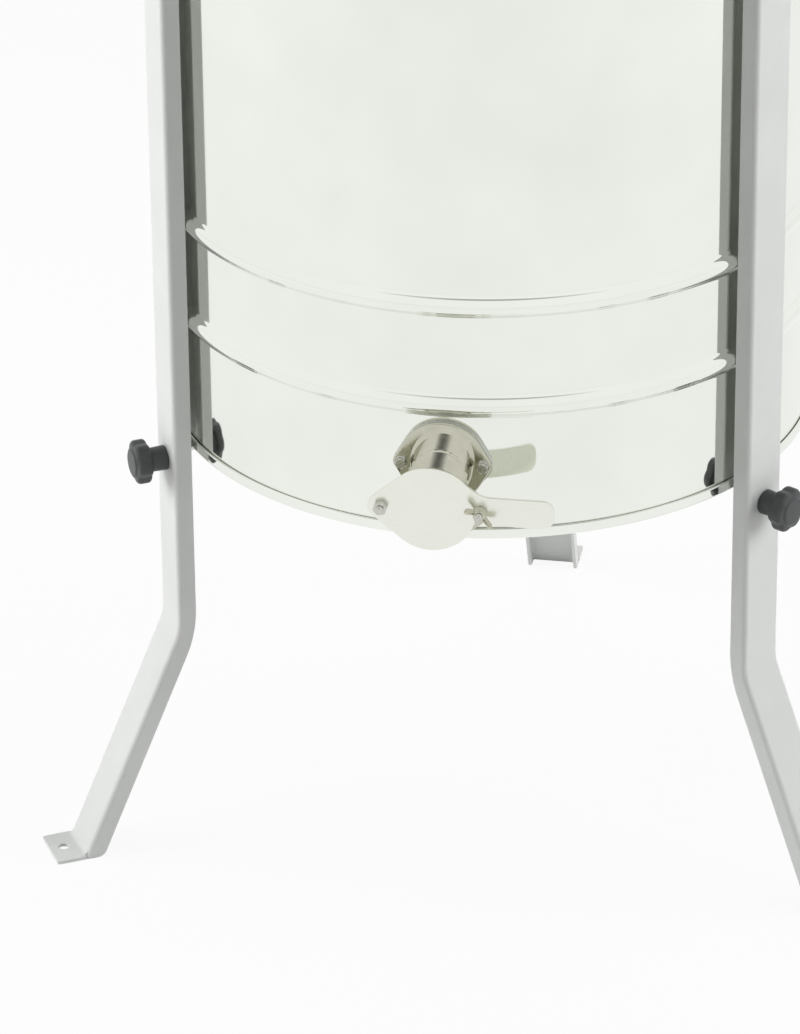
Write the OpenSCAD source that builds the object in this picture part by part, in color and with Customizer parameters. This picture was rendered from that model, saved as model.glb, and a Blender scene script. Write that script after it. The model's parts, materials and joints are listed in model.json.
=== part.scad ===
// Hand-cranked honey extractor: a polished steel drum on three bent channel legs, with a
// swing-blade honey gate in front, a four-frame basket inside, two clear half lids and a
// bevel-gear crank on a cross bar. Millimetres, +Z up, origin on the drum axis at floor level.
// The gate looks along -Y. Angles round the drum run from -Y towards +X.

/* [Drum] */
// Outside radius of the rolled wall
drum_r = 260; // [258:0.5:262]
// Thickness of the wall and bottom sheet
sheet = 1; // [0.8:0.1:1.2]
// Height of the drum's lower edge above the floor
drum_z0 = 361; // [355:1:365]
// Height of the drum, edge to rim
drum_h = 600; // [590:5:600]
// Height of the hem that joins wall and bottom
hem_h = 9; // [7:0.5:10]
// How far a rolled bead stands out of the wall
bead_out = 5; // [4:0.5:5]
// Height of one rolled bead
bead_h = 17; // [15:0.5:18]
// Centre heights of the rolled beads
bead_z = [476, 561, 900];
// Radius of the wired rim at the top
rim_r = 4.5; // [4:0.5:5]

/* [Legs] */
// Turn of the three legs about the gate's centre line, in degrees
leg_turn = -1; // [-4:0.5:4]
// Width of the leg channel
leg_w = 44; // [42:1:46]
// Depth of the leg channel
leg_d = 15.3; // [15:0.1:17]
// Thickness of the leg's steel
leg_t = 3; // [2.5:0.5:3]
// Height where the leg bends outward
bend_z = 194; // [185:1:200]
// Slope of the lower leg from vertical, in degrees
splay = 23.7; // [22:0.1:25]
// Height of the leg's upper end
leg_top = 915; // [912:1:920]
// Length of the foot pad beyond the leg
pad_l = 23.7; // [22:0.1:26]
// Radius of the floor-bolt circle
foot_pcr = 378; // [377:0.5:379]
// Radius of the hole in each foot pad
foot_hole_r = 4.25; // [4:0.05:4.5]

/* [Leg knobs] */
// Height of the leg knobs
knob_z = 348; // [346:1:350]
// Radius of the knob's lobed head
knob_r = 18; // [17:0.5:20]

/* [Honey gate] */
// Height of the outlet's centre line
gate_z = 428; // [426:1:430]
// Inside radius of the outlet
bore_r = 20.5; // [19:0.5:21]
// Radius of the swinging disc
disc_r = 35.6; // [34:0.1:36]
// Distance of the pivot and of the stud from the centre
ear_x = 38.8; // [38:0.1:40]
// Reach of the handle from the centre
handle_x = 96.2; // [90:0.1:100]
// Drop of the sloping tube from the flange to the seat
seat_drop = 23.6; // [20:0.1:26]
// Sideways lean of the sloping tube
seat_x = -4.6; // [-6:0.1:0]

/* [Basket] */
// Clear half width of a frame pocket
pocket_w = 121; // [118:1:122]
// Distance of the pocket's inner rail from the shaft
rail_x = 125; // [124:1:126]
// Clear depth of a frame pocket
pocket_d = 49; // [46:1:50]
// Height of the lower basket frame
basket_z0 = 492; // [490:1:496]
// Height of the upper basket frame
basket_z1 = 888; // [870:1:890]
// Radius of the basket shaft
shaft_r = 10;

/* [Drive] */
// Teeth of the crank gear
gear_n = 36; // [36:1:36]
// Teeth of the basket pinion
pinion_n = 16; // [16:1:16]
// Tooth module
tooth_m = 2; // [2:0.1:2]
// Backlash between the teeth
backlash = 0.5; // [0.4:0.05:0.6]
// Length of the crank arm, shaft to grip
arm_l = 150; // [130:5:160]

/* [Lids] */
// Radius of the clear half lids
lid_r = 266; // [262:1:267]
// Thickness of the lid panels
lid_t = 4; // [3:0.5:4]

/* [Hidden] */
$fn = 96;
LEG_AZ = [-60 + leg_turn, 60 + leg_turn, 180 + leg_turn];

// Drum
rim_z = drum_z0 + drum_h;
bead_arc_r = (pow(bead_h / 2, 2) + pow(bead_out, 2)) / (2 * bead_out);
bead_c = drum_r + bead_out - bead_arc_r;
wall_in = drum_r - sheet;
hem_gap = 0.1;
skirt_r = wall_in - hem_gap;
floor_z = 400;
cone_z = 440;
outlet_hole_r = 23.2;

// Legs: the free edges of the flanges stand just off the crests of the beads
leg_ri = sqrt(pow(drum_r + bead_out, 2) - pow(leg_w / 2 - leg_t, 2)) + 0.15;
leg_ro = leg_ri + leg_d;
bend_fillet = 105;
top_bolt_z = 868;
m8_r = 4;
m6_r = 3;
m5_r = 2.5;
bracket_r = 257.6;
bracket_t = 3;
bracket_w = 16;
bracket_z = knob_z + 6.5;
long_nut_r = 265;

// Gate, measured outward along the outlet from the drum axis
flange_0 = drum_r + 2.5;
flange_1 = flange_0 + 4;
weld_0 = flange_1 + 13;
weld_t = 2.4;
collar_0 = weld_0 + weld_t;
neck_1 = collar_0 + 6;
seat_0 = collar_0 + 10.1;
seat_1 = seat_0 + 3;
blade_0 = seat_1 + 0.3;
blade_1 = blade_0 + 2.5;
neck_r = 23;
tube_run = seat_1 - flange_1;
tube_tilt = atan(seat_drop / norm([seat_x, tube_run]));
seal_ri = 28.6;
seal_ro = 30.6;
flange_bolt_x = 32;
blade_slot = 8.6;

// Cross bar and lids
bar_w = 90;
bar_z0 = rim_z + 0.5;
bar_z1 = bar_z0 + 30;
bar_t = 2;
bar_x = 266;
pillow_x = 247;
hinge_y = 50.5;
hinge_z = bar_z0 + 9;
hinge_x = 150;
hinge_r = 3.5;
hinge_pin_r = 1.6;
lid_z = bar_z0 + 1;
lid_y = 53;

// Drive
cone_g = atan(gear_n / pinion_n);
cone_p = 90 - cone_g;
pitch_g = gear_n * tooth_m / 2;
pitch_p = pinion_n * tooth_m / 2;
cone_l = pitch_g / sin(cone_g);
face_w = 12;
addendum = 0.92;
crank_z = bar_z1 + 44.5;
crank_x1 = 304;
crank_shaft_r = 8;
case_r = 42;
case_t = 3.5;
run_gap = 0.05;

// ---------- shared shapes ----------

function turn(v, a) = [v[0] * cos(a) - v[1] * sin(a), v[0] * sin(a) + v[1] * cos(a)];
function arc(c, r, a0, a1, n) =
    [for (i = [0 : n]) c + r * turn([1, 0], a0 + (a1 - a0) * i / n)];

// Puts a shape whose local -Y is radial at an angle round the drum
module round_drum(az) rotate([0, 0, az]) children();

// Extrudes a profile drawn as (radius, height) by a width across the radius
module radial_plate(w)
    rotate([90, 0, -90]) linear_extrude(w, center = true) children();

// Local +Z runs outward along -Y from the drum axis, local +Y is up
module outward(z) translate([0, 0, z]) rotate([90, 0, 0]) children();

// Local +Z runs along +X from the drum axis
module along_x(z) translate([0, 0, z]) rotate([0, 90, 0]) children();

module ring(r_out, r_in, h) {
    difference() {
        cylinder(r = r_out, h = h);
        translate([0, 0, -1]) cylinder(r = r_in, h = h + 2);
    }
}

module hex_head(r, h) cylinder(r = r, h = h, $fn = 6);

// ---------- drum ----------

function bead_pts(z, inset, up) =
    let (r = bead_arc_r - inset, a = acos((drum_r - inset - bead_c) / r))
    arc([bead_c, z], r, up ? -a : a, up ? a : -a, 14);

module drum_shell() color("gainsboro") difference() {
    rotate_extrude($fn = 180) {
        polygon(concat(
            [[drum_r, drum_z0 + 1.3]],
            [for (z = bead_z) each bead_pts(z, 0, true)],
            [[drum_r, rim_z - rim_r], [wall_in, rim_z - rim_r]],
            [for (i = [2 : -1 : 0]) each bead_pts(bead_z[i], sheet, false)],
            [[wall_in, drum_z0 + 1.3]]
        ));
        translate([drum_r + rim_r - 1, rim_z - rim_r]) circle(rim_r, $fn = 36);
    }
    outward(gate_z) translate([0, 0, wall_in - 20]) cylinder(r = outlet_hole_r, h = 40);
    for (s = [-1, 1])
        outward(gate_z) translate([s * flange_bolt_x, 0, wall_in - 20]) cylinder(r = m5_r + 0.3, h = 40);
    for (az = LEG_AZ)
        round_drum(az) outward(top_bolt_z) translate([0, 0, wall_in - 20]) cylinder(r = m8_r + 0.3, h = 40);
    for (s = [-1, 1], y = [-15, 15])
        translate([s * (wall_in - 20), y, bar_z0 - 37]) rotate([0, s * 90, 0]) cylinder(r = m8_r + 0.3, h = 40);
}

// Conical bottom, highest in the middle, with a skirt inside the wall and a hem round its edge
module drum_bottom() color("gainsboro")
    rotate_extrude($fn = 180) polygon([
        [drum_r + hem_gap, drum_z0 + 1.2],
        [drum_r + hem_gap, drum_z0 + hem_h],
        [drum_r + 1.6, drum_z0 + hem_h],
        [drum_r + 2.6, drum_z0 + hem_h - 1.5],
        [drum_r + 2.6, drum_z0 + 1],
        [drum_r + 1.6, drum_z0],
        [skirt_r - sheet, drum_z0],
        [skirt_r - sheet, floor_z - 6],
        [skirt_r - sheet - 5, floor_z - 1],
        [30, cone_z - sheet],
        [0, cone_z - sheet],
        [0, cone_z],
        [30, cone_z],
        [skirt_r - 5, floor_z],
        [skirt_r, floor_z - 5],
        [skirt_r, drum_z0 + 1.2]
    ]);

// ---------- legs ----------

// Side profile of the leg at a distance inside its outer face, (radius, height)
function leg_inner_path() =
    let (b = splay, t = bend_fillet * tan(b / 2), c = [leg_ri + bend_fillet, bend_z + t])
    concat([[leg_ri, leg_top]], arc(c, bend_fillet, 180, 180 + b, 10),
           [[leg_ri + bend_z * tan(b), 0]]);
function outer_bend_z(inset) = bend_z + (leg_d - inset) * tan(splay / 2);
function outer_foot_r(inset) = leg_ro - inset + outer_bend_z(inset) * tan(splay);

module leg(az) color("silver") round_drum(az) difference() {
    union() {
        difference() {
            radial_plate(leg_w) polygon(concat(
                leg_inner_path(),
                [[outer_foot_r(0), 0], [leg_ro, outer_bend_z(0)], [leg_ro, leg_top]]
            ));
            radial_plate(leg_w - 2 * leg_t) polygon([
                [leg_ri - 20, leg_top + 1],
                [leg_ri - 20, -1],
                [outer_foot_r(leg_t) + tan(splay), -1],
                [leg_ro - leg_t, outer_bend_z(leg_t)],
                [leg_ro - leg_t, leg_top + 1]
            ]);
        }
        translate([-leg_w / 2, -outer_foot_r(0) - pad_l, 0]) cube([leg_w, pad_l + 1, leg_t]);
    }
    translate([0, -foot_pcr, -1]) cylinder(r = foot_hole_r, h = leg_t + 2);
    for (z = [knob_z, top_bolt_z])
        outward(z) translate([0, 0, leg_ro - leg_t - 2]) cylinder(r = m8_r + 0.5, h = leg_t + 4);
}

module leg_front_left() leg(LEG_AZ[0]);
module leg_front_right() leg(LEG_AZ[1]);
module leg_rear() leg(LEG_AZ[2]);

// Angle plates welded inside the skirt; each carries a long nut that the leg's web is clamped against
module leg_brackets() color("silver") for (az = LEG_AZ) round_drum(az) difference() {
    union() {
        translate([-bracket_w / 2, -bracket_r, bracket_z]) cube([bracket_w, bracket_t, 38]);
        translate([-bracket_w / 2, -long_nut_r - 8, bracket_z])
            cube([bracket_w, long_nut_r + 8 - bracket_r + bracket_t, bracket_t]);
        outward(knob_z) translate([0, 0, long_nut_r]) hex_head(8, leg_ro - leg_t - 0.3 - long_nut_r);
    }
    outward(knob_z) translate([0, 0, bracket_r - 20]) cylinder(r = m8_r + run_gap, h = 60);
}

module leg_spacers() color("silver") for (az = LEG_AZ)
    round_drum(az) outward(top_bolt_z) translate([0, 0, drum_r + 0.2])
        ring(7.5, m8_r + 0.3, leg_ro - leg_t - drum_r - 0.2);

// Mushroom-head bolts from inside the drum with cap nuts on the legs
module leg_top_bolts() color("gainsboro") for (az = LEG_AZ) round_drum(az) outward(top_bolt_z) {
    translate([0, 0, wall_in - 4.2]) cylinder(r = 8, h = 4);
    translate([0, 0, wall_in - 1]) cylinder(r = m8_r, h = leg_ro - wall_in + 8);
    translate([0, 0, leg_ro]) ring(9, m8_r, 1.6);
    translate([0, 0, leg_ro + 1.6]) difference() {
        union() {
            hex_head(7.5, 7);
            translate([0, 0, 6]) sphere(r = 6.2, $fn = 48);
        }
        translate([0, 0, -8]) cylinder(r = m8_r, h = 15);
        translate([-10, -10, -20]) cube([20, 20, 20]);
    }
}

// ---------- leg knobs ----------

module knob(az) color("dimgray") round_drum(az) outward(knob_z) difference() {
    union() {
        translate([0, 0, leg_ro + 0.3]) cylinder(r1 = 10.2, r2 = 9.6, h = 15);
        translate([0, 0, leg_ro + 14]) cylinder(r = knob_r, h = 13);
        translate([0, 0, leg_ro + 26]) cylinder(r1 = 13, r2 = 10, h = 3);
    }
    for (i = [0 : 5])
        rotate([0, 0, i * 60]) translate([knob_r + 5, 0, leg_ro + 13]) cylinder(r = 8, h = 20);
    translate([0, 0, leg_ro - 1]) cylinder(r = m8_r, h = 19);
}

module knob_stud(az) color("silver") round_drum(az) outward(knob_z)
    translate([0, 0, long_nut_r - 2]) cylinder(r = m8_r, h = leg_ro + 20 - long_nut_r);

module knob_front_left() knob(LEG_AZ[0]);
module knob_front_right() knob(LEG_AZ[1]);
module knob_rear() knob(LEG_AZ[2]);
module knob_stud_front_left() knob_stud(LEG_AZ[0]);
module knob_stud_front_right() knob_stud(LEG_AZ[1]);
module knob_stud_rear() knob_stud(LEG_AZ[2]);

// ---------- honey gate ----------

// Outline of a disc with an ear on each side, its straight edges touching the arcs
function two_ear_pts(r, ear, x) = let (a = acos((r - ear) / x)) concat(
    arc([x, 0], ear, -a, a, 12),
    arc([0, 0], r, a, 180 - a, 12),
    arc([-x, 0], ear, 180 - a, 180 + a, 12),
    arc([0, 0], r, 180 + a, 360 - a, 12)
);

module flange_outline() difference() {
    polygon(two_ear_pts(34.4, 6.5, flange_bolt_x));
    for (s = [-1, 1]) translate([s * flange_bolt_x, 0]) circle(m5_r + 0.2);
}

module gate_gasket() color("whitesmoke") difference() {
    outward(gate_z) translate([0, 0, flange_0 - 9]) linear_extrude(9) difference() {
        flange_outline();
        circle(neck_r);
    }
    translate([0, 0, gate_z - 60]) cylinder(r = drum_r, h = 120, $fn = 180);
}

// Round bar along the sloping tube's axis, cut off by two upright planes
module slope(r, z0, z1) intersection() {
    translate([0, 0, flange_1]) rotate([tube_tilt, atan(seat_x / tube_run), 0])
        translate([0, 0, -60]) cylinder(r = r, h = 160);
    translate([-60, -80, z0]) cube([120, 130, z1 - z0]);
}

// Local origin on the seat's centre line
module at_seat() outward(gate_z) translate([seat_x, -seat_drop, 0]) children();

module gate_flange() color("gainsboro") outward(gate_z) difference() {
    union() {
        translate([0, 0, flange_0]) linear_extrude(4) flange_outline();
        translate([0, 0, wall_in - 4]) cylinder(r = neck_r, h = flange_1 - wall_in + 3);
        slope(neck_r, flange_1 - 1, neck_1 - 0.5);
        slope(neck_r + 1, weld_0, collar_0);
    }
    translate([0, 0, wall_in - 10]) cylinder(r = bore_r, h = flange_1 - wall_in + 10);
    slope(bore_r, flange_1 - 1, neck_1 + 1);
}

module gate_flange_bolts() color("gainsboro") for (s = [-1, 1])
    outward(gate_z) translate([s * flange_bolt_x, 0, 0]) {
        translate([0, 0, flange_1]) ring(5.3, m5_r, 1);
        translate([0, 0, flange_1 + 1]) hex_head(4.6, 3.5);
        translate([0, 0, 247.5]) cylinder(r = m5_r, h = flange_1 + 1 - 247.5);
        translate([0, 0, 250.8]) difference() {
            hex_head(4.6, 4);
            translate([0, 0, -1]) cylinder(r = m5_r, h = 7);
        }
    }

module seat_outline() difference() {
    polygon(two_ear_pts(34, 9.5, ear_x));
    for (s = [-1, 1]) translate([s * ear_x, 0]) circle(m6_r);
}

module gate_body() color("gainsboro") difference() {
    union() {
        outward(gate_z) slope(neck_r + 1.6, collar_0, seat_0 + 1);
        at_seat() translate([0, 0, seat_0]) linear_extrude(seat_1 - seat_0) seat_outline();
    }
    outward(gate_z) slope(neck_r, collar_0 - 1, neck_1);
    outward(gate_z) slope(bore_r, collar_0, seat_1 + 1);
    at_seat() translate([0, 0, seat_1 - 1]) ring(seal_ro + 0.1, seal_ri - 0.1, 3);
}

module gate_seal() color("white") at_seat()
    translate([0, 0, seat_1 - 1]) ring(seal_ro, seal_ri, 1.1);

module gate_pivot_bolt() color("gainsboro") at_seat() translate([-ear_x, 0, 0]) {
    translate([0, 0, seat_0 - 4]) hex_head(5.6, 4);
    translate([0, 0, seat_0 - 1]) cylinder(r = m6_r, h = blade_1 + 8 - seat_0 + 1);
    translate([0, 0, blade_1 + 6]) cylinder(r1 = m6_r, r2 = 2, h = 3);
}

module gate_pivot_nut() color("gainsboro") at_seat() translate([-ear_x, 0, blade_1 + 0.3])
    difference() {
        hex_head(5.8, 5);
        translate([0, 0, -1]) cylinder(r = m6_r, h = 7);
    }

module gate_stud() color("gainsboro") at_seat() translate([ear_x, 0, seat_0])
    cylinder(r = m6_r, h = blade_1 + 13 - seat_0);

// Disc, pivot ear and handle in one outline; the notch lets the plate lift off the stud
function blade_pts(top, low, ear, end_r, fillet_r) =
    let (
        a = acos((disc_r - ear) / ear_x),
        fillet_y = top + fillet_r,
        fillet_x = sqrt(pow(disc_r + fillet_r, 2) - pow(fillet_y, 2)),
        rise = atan(fillet_y / fillet_x),
        half = blade_slot / 2,
        corner_x = handle_x - end_r
    ) concat(
        arc([0, 0], disc_r, 180 + a, 360 - asin(-low / disc_r), 30),
        [[ear_x - half, low]],
        arc([ear_x, 0], half, 180, 0, 16),
        [[ear_x + half, low]],
        arc([corner_x, low + end_r], end_r, -90, 0, 12),
        arc([corner_x, top - end_r], end_r, 0, 90, 12),
        arc([fillet_x, fillet_y], fillet_r, 270, 180 + rise, 12),
        arc([0, 0], disc_r, rise, 180 - a, 24),
        arc([-ear_x, 0], ear, 180 - a, 180 + a, 14)
    );

module blade_outline() difference() {
    polygon(blade_pts(top = 13, low = -11, ear = 10.5, end_r = 9, fillet_r = 28));
    translate([-ear_x, 0]) circle(m6_r + run_gap);
}

module gate_blade() color("gainsboro")
    at_seat() translate([0, 0, blade_0]) linear_extrude(blade_1 - blade_0) blade_outline();

module wing_nut() color("gainsboro")
    at_seat() translate([ear_x, 0, blade_1 + 0.3]) rotate([0, 0, -33]) difference() {
        union() {
            cylinder(r1 = 6, r2 = 4.8, h = 7);
            for (s = [0, 180]) rotate([0, 0, s]) rotate([90, 0, 0]) linear_extrude(2.2, center = true)
                polygon([[3, 1.5], [6, 1.5], [12.5, 8], [13, 12.5], [10.5, 14], [7.5, 11], [4, 6.8]]);
        }
        translate([0, 0, -1]) cylinder(r = m6_r + run_gap, h = 20);
    }

// ---------- cross bar ----------

module cross_bar() color("gainsboro") difference() {
    translate([-bar_x, -bar_w / 2, bar_z0]) cube([2 * bar_x, bar_w, bar_z1 - bar_z0]);
    translate([-bar_x - 1, -bar_w / 2 + bar_t, bar_z0 - 1])
        cube([2 * bar_x + 2, bar_w - 2 * bar_t, bar_z1 - bar_z0 - bar_t + 1]);
    translate([0, 0, bar_z0]) cylinder(r = 16, h = 40);
    for (s = [-1, 1], y = [-15, 15]) translate([s * 222, y, bar_z0]) cylinder(r = m8_r + 0.3, h = 40);
    for (x = [-36, 54], y = [-30, 30]) translate([x, y, bar_z0]) cylinder(r = m6_r + 0.3, h = 40);
    for (y = [-21, 21]) translate([pillow_x, y, bar_z0]) cylinder(r = m6_r + 0.3, h = 40);
}

// Angle plates that hang the bar inside the drum's wall
module bar_brackets() color("gainsboro") for (s = [0, 180]) rotate([0, 0, s]) difference() {
    union() {
        translate([253.5, -25, bar_z0 - 56]) cube([3, 50, bar_z1 - bar_z0 + 54]);
        translate([208, -25, bar_z1 - bar_t - 3]) cube([48, 50, 3]);
    }
    for (y = [-15, 15]) {
        translate([240, y, bar_z0 - 37]) rotate([0, 90, 0]) cylinder(r = m8_r + 0.3, h = 40);
        translate([222, y, bar_z0]) cylinder(r = m8_r + 0.3, h = 40);
    }
    for (y = [-21, 21]) translate([pillow_x, y, bar_z0]) cylinder(r = m6_r + 0.3, h = 40);
}

module bar_wall_bolts() color("gainsboro") for (s = [0, 180], y = [-15, 15])
    rotate([0, 0, s]) translate([0, y, 0]) along_x(bar_z0 - 37) {
        translate([0, 0, drum_r]) ring(8.5, m8_r, 1.5);
        translate([0, 0, drum_r + 1.5]) hex_head(7.5, 5.3);
        translate([0, 0, 242]) cylinder(r = m8_r, h = drum_r + 1.5 - 242);
        translate([0, 0, 246.5]) difference() {
            hex_head(7.5, 6.8);
            translate([0, 0, -1]) cylinder(r = m8_r, h = 9);
        }
    }

// Upright hexagon bolt: head on a surface at z, nut under a stack of the given thickness
module upright_bolt(r, z, stack) translate([0, 0, z]) {
    ring(2.1 * r, r, 1.4);
    translate([0, 0, 1.4]) hex_head(1.9 * r, 1.3 * r);
    translate([0, 0, -stack - 2.4 * r]) cylinder(r = r, h = stack + 2.4 * r + 1.4);
    translate([0, 0, -stack - 1.8 * r]) difference() {
        hex_head(1.9 * r, 1.7 * r);
        translate([0, 0, -1]) cylinder(r = r, h = 4 * r);
    }
}

module bar_top_bolts() color("gainsboro") for (s = [-1, 1], y = [-15, 15])
    translate([s * 222, y, 0]) upright_bolt(m8_r, bar_z1, bar_t + 3);

// ---------- basket bearings ----------

module bottom_boss() color("gainsboro") translate([0, 0, cone_z]) difference() {
    union() {
        cylinder(r = 20, h = 36);
        cylinder(r1 = 28, r2 = 20, h = 6);
    }
    translate([0, 0, 4]) cylinder(r = 14, h = 40);
}

module bottom_bush() color("ivory") translate([0, 0, cone_z + 4]) difference() {
    cylinder(r = 14, h = 32);
    translate([0, 0, 4]) cylinder(r = shaft_r + run_gap, h = 40);
}

module thrust_ball() color("silver") translate([0, 0, cone_z + 14]) sphere(r = 6);

module upper_bearing_housing() color("silver") translate([0, 0, bar_z1 - bar_t]) difference() {
    union() {
        translate([0, 0, -3]) cylinder(r = 34, h = 3);
        translate([0, 0, -21]) cylinder(r = 25, h = 20);
    }
    translate([0, 0, -18]) cylinder(r = 21, h = 30);
    translate([0, 0, -30]) cylinder(r = 16, h = 60);
}

// Ball bearing drawn as its two rings with a shield between
module upper_bearing() color("silver") translate([0, 0, bar_z1 - bar_t - 18]) {
    ring(21, 17.5, 12);
    ring(14, shaft_r + run_gap, 12);
    translate([0, 0, 1]) ring(17.8, 13.8, 10);
}

// ---------- gears and crank ----------

function flank(n, delta, h) =
    let (a = delta + atan(h / cone_l),
         r = cone_l * cos(delta) * tan(a),
         half = (PI * tooth_m / 4 - backlash / 2 - h * tan(20)) * cos(delta) / cos(a))
    [r, asin(half / r)];

// Outline of a bevel gear's teeth at its large end, with a tooth or a gap on +X
module teeth(n, delta, phase) {
    root = flank(n, delta, -1.25 * tooth_m);
    tip = flank(n, delta, addendum * tooth_m);
    polygon([for (i = [0 : n - 1]) let (a = (i + phase) * 360 / n) each [
        turn([root[0], 0], a - root[1]),
        turn([tip[0], 0], a - tip[1]),
        turn([tip[0], 0], a + tip[1]),
        turn([root[0], 0], a + root[1])
    ]]);
}

module bevel(n, delta, phase) {
    h = cone_l * cos(delta);
    t = face_w * cos(delta);
    intersection() {
        linear_extrude(t, scale = (h - t) / h) teeth(n, delta, phase);
        cylinder(r = cone_l * sin(delta) + tooth_m * cos(delta), h = t);
    }
}

module basket_pinion() color("goldenrod") difference() {
    translate([0, 0, crank_z - pitch_g]) {
        bevel(pinion_n, cone_p, 0);
        translate([0, 0, -4]) cylinder(r = 12, h = 5);
    }
    translate([0, 0, bar_z1]) cylinder(r = 7, h = 60);
}

module crank_gear() color("goldenrod") along_x(crank_z) difference() {
    union() {
        translate([0, 0, pitch_p]) mirror([0, 0, 1]) bevel(gear_n, cone_g, 0.5);
        translate([0, 0, pitch_p - 1]) cylinder(r = 30, h = 5);
        translate([0, 0, pitch_p]) cylinder(r = 14, h = 18);
    }
    cylinder(r = crank_shaft_r, h = 60);
}

module crank_shaft() color("silver") along_x(crank_z) translate([0, 0, 7])
    cylinder(r = crank_shaft_r, h = crank_x1 - 7);

module crank_bushes() color("peru") along_x(crank_z) {
    translate([0, 0, 40.5]) ring(11, crank_shaft_r + run_gap, 17.5);
    translate([0, 0, 240]) ring(11, crank_shaft_r + run_gap, 16);
}

module case_section(r) {
    circle(r);
    translate([0, -r]) square([crank_z - bar_z1, 2 * r]);
}

module gear_case() color("darkgray") difference() {
    union() {
        along_x(crank_z) {
            translate([0, 0, -26]) linear_extrude(70) case_section(case_r);
            translate([0, 0, 43]) cylinder(r = 16, h = 15);
        }
        translate([-44, -case_r, bar_z1]) cube([106, 2 * case_r, 5]);
    }
    along_x(crank_z) {
        translate([0, 0, -27]) linear_extrude(67.5) case_section(case_r - case_t);
        cylinder(r = 11, h = 80);
    }
    translate([-22, -case_r + case_t, bar_z1 - 1]) cube([62, 2 * (case_r - case_t), 10]);
    for (x = [-36, 54], y = [-30, 30]) translate([x, y, bar_z1 - 1]) cylinder(r = m6_r + 0.3, h = 10);
}

module gear_case_cover() color("darkgray") difference() {
    along_x(crank_z) translate([0, 0, -29]) linear_extrude(3) case_section(case_r);
    translate([-44, -case_r - 1, bar_z1 - 1]) cube([18, 2 * case_r + 2, 6.1]);
}

module gear_case_bolts() color("gainsboro")
    for (x = [-36, 54], y = [-30, 30]) translate([x, y, 0]) upright_bolt(m6_r, bar_z1 + 5, bar_t + 5);

module pillow_block() color("darkgray") difference() {
    union() {
        translate([240, -30, bar_z1]) cube([16, 60, 9]);
        translate([240, -14, bar_z1]) cube([16, 28, crank_z - bar_z1]);
        along_x(crank_z) translate([0, 0, 240]) cylinder(r = 17, h = 16);
    }
    along_x(crank_z) translate([0, 0, 230]) cylinder(r = 11, h = 40);
    for (y = [-21, 21]) translate([pillow_x, y, bar_z1 - 1]) cylinder(r = m6_r + 0.3, h = 12);
}

module pillow_block_bolts() color("gainsboro")
    for (y = [-21, 21]) translate([pillow_x, y, 0]) upright_bolt(m6_r, bar_z1 + 9, bar_t + 12);

// Flat arm that hangs down at rest, with a hub on the shaft
module crank_arm() color("silver") along_x(crank_z) difference() {
    wide = 15;
    narrow = 11;
    a = acos((wide - narrow) / arm_l);
    union() {
        translate([0, 0, 284]) cylinder(r = 16, h = 18);
        translate([0, 0, 296]) linear_extrude(6)
            polygon(concat(arc([0, 0], wide, a, 360 - a, 24), arc([arm_l, 0], narrow, -a, a, 24)));
    }
    translate([0, 0, 280]) cylinder(r = crank_shaft_r, h = 30);
    translate([arm_l, 0, 280]) cylinder(r = 5, h = 30);
}

module grip_bolt() color("silver") along_x(crank_z) translate([arm_l, 0, 0]) {
    translate([0, 0, 290]) hex_head(9, 6);
    translate([0, 0, 295]) cylinder(r = 5, h = 108);
    translate([0, 0, 302]) cylinder(r = 8, h = 2);
    translate([0, 0, 400]) cylinder(r1 = 8, r2 = 6, h = 4);
}

module crank_grip() color("dimgray") along_x(crank_z) translate([arm_l, 0, 0]) difference() {
    rotate_extrude() polygon([
        [0, 304.4], [12, 304.4], [14.5, 307], [15, 312],
        [13.2, 325], [13.2, 335], [15.4, 360], [16.4, 378],
        [15.5, 390], [12, 397], [9, 399.6], [0, 399.6]
    ]);
    translate([0, 0, 300]) cylinder(r = 5 + run_gap, h = 110);
}

// ---------- basket ----------

module basket_shaft() color("silver") {
    translate([0, 0, cone_z + 20.05]) cylinder(r = shaft_r, h = crank_z - pitch_g - 5 - cone_z - 20.05);
    translate([0, 0, 900]) cylinder(r = 7, h = crank_z - pitch_g + 11 - 900);
}

module basket_frame_outline() {
    half = rail_x + 4 + pocket_d + 10;
    outer = rail_x + 4 + pocket_d;
    for (s = [-1, 1]) {
        translate([-half, s * rail_x - 4]) square([2 * half, 8]);
        translate([s * rail_x - 4, -half]) square([8, 2 * half]);
        translate([s > 0 ? outer : -outer - 8, -rail_x - 4]) square([8, 2 * rail_x + 8]);
        translate([-rail_x - 4, s > 0 ? outer : -outer - 8]) square([2 * rail_x + 8, 8]);
    }
    translate([-rail_x, -9]) square([2 * rail_x, 18]);
    translate([-9, -rail_x]) square([18, 2 * rail_x]);
    circle(24);
}

module basket_top_frame() color("gainsboro") translate([0, 0, basket_z1]) linear_extrude(4)
    difference() {
        basket_frame_outline();
        circle(shaft_r);
    }

// The lower frame also has two bars under each pocket for the combs to stand on
module basket_bottom_frame() color("gainsboro") translate([0, 0, basket_z0]) linear_extrude(4)
    difference() {
        union() {
            basket_frame_outline();
            for (q = [0 : 3], s = [-1, 1])
                rotate(q * 90) translate([rail_x, s * 62 - 4]) square([pocket_d + 8, 8]);
        }
        circle(shaft_r);
    }

module basket_collars() color("silver") {
    for (z = [basket_z0 - 12, basket_z0 + 4, basket_z1 - 12, basket_z1 + 4])
        translate([0, 0, z]) ring(17, shaft_r, 12);
}

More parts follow.
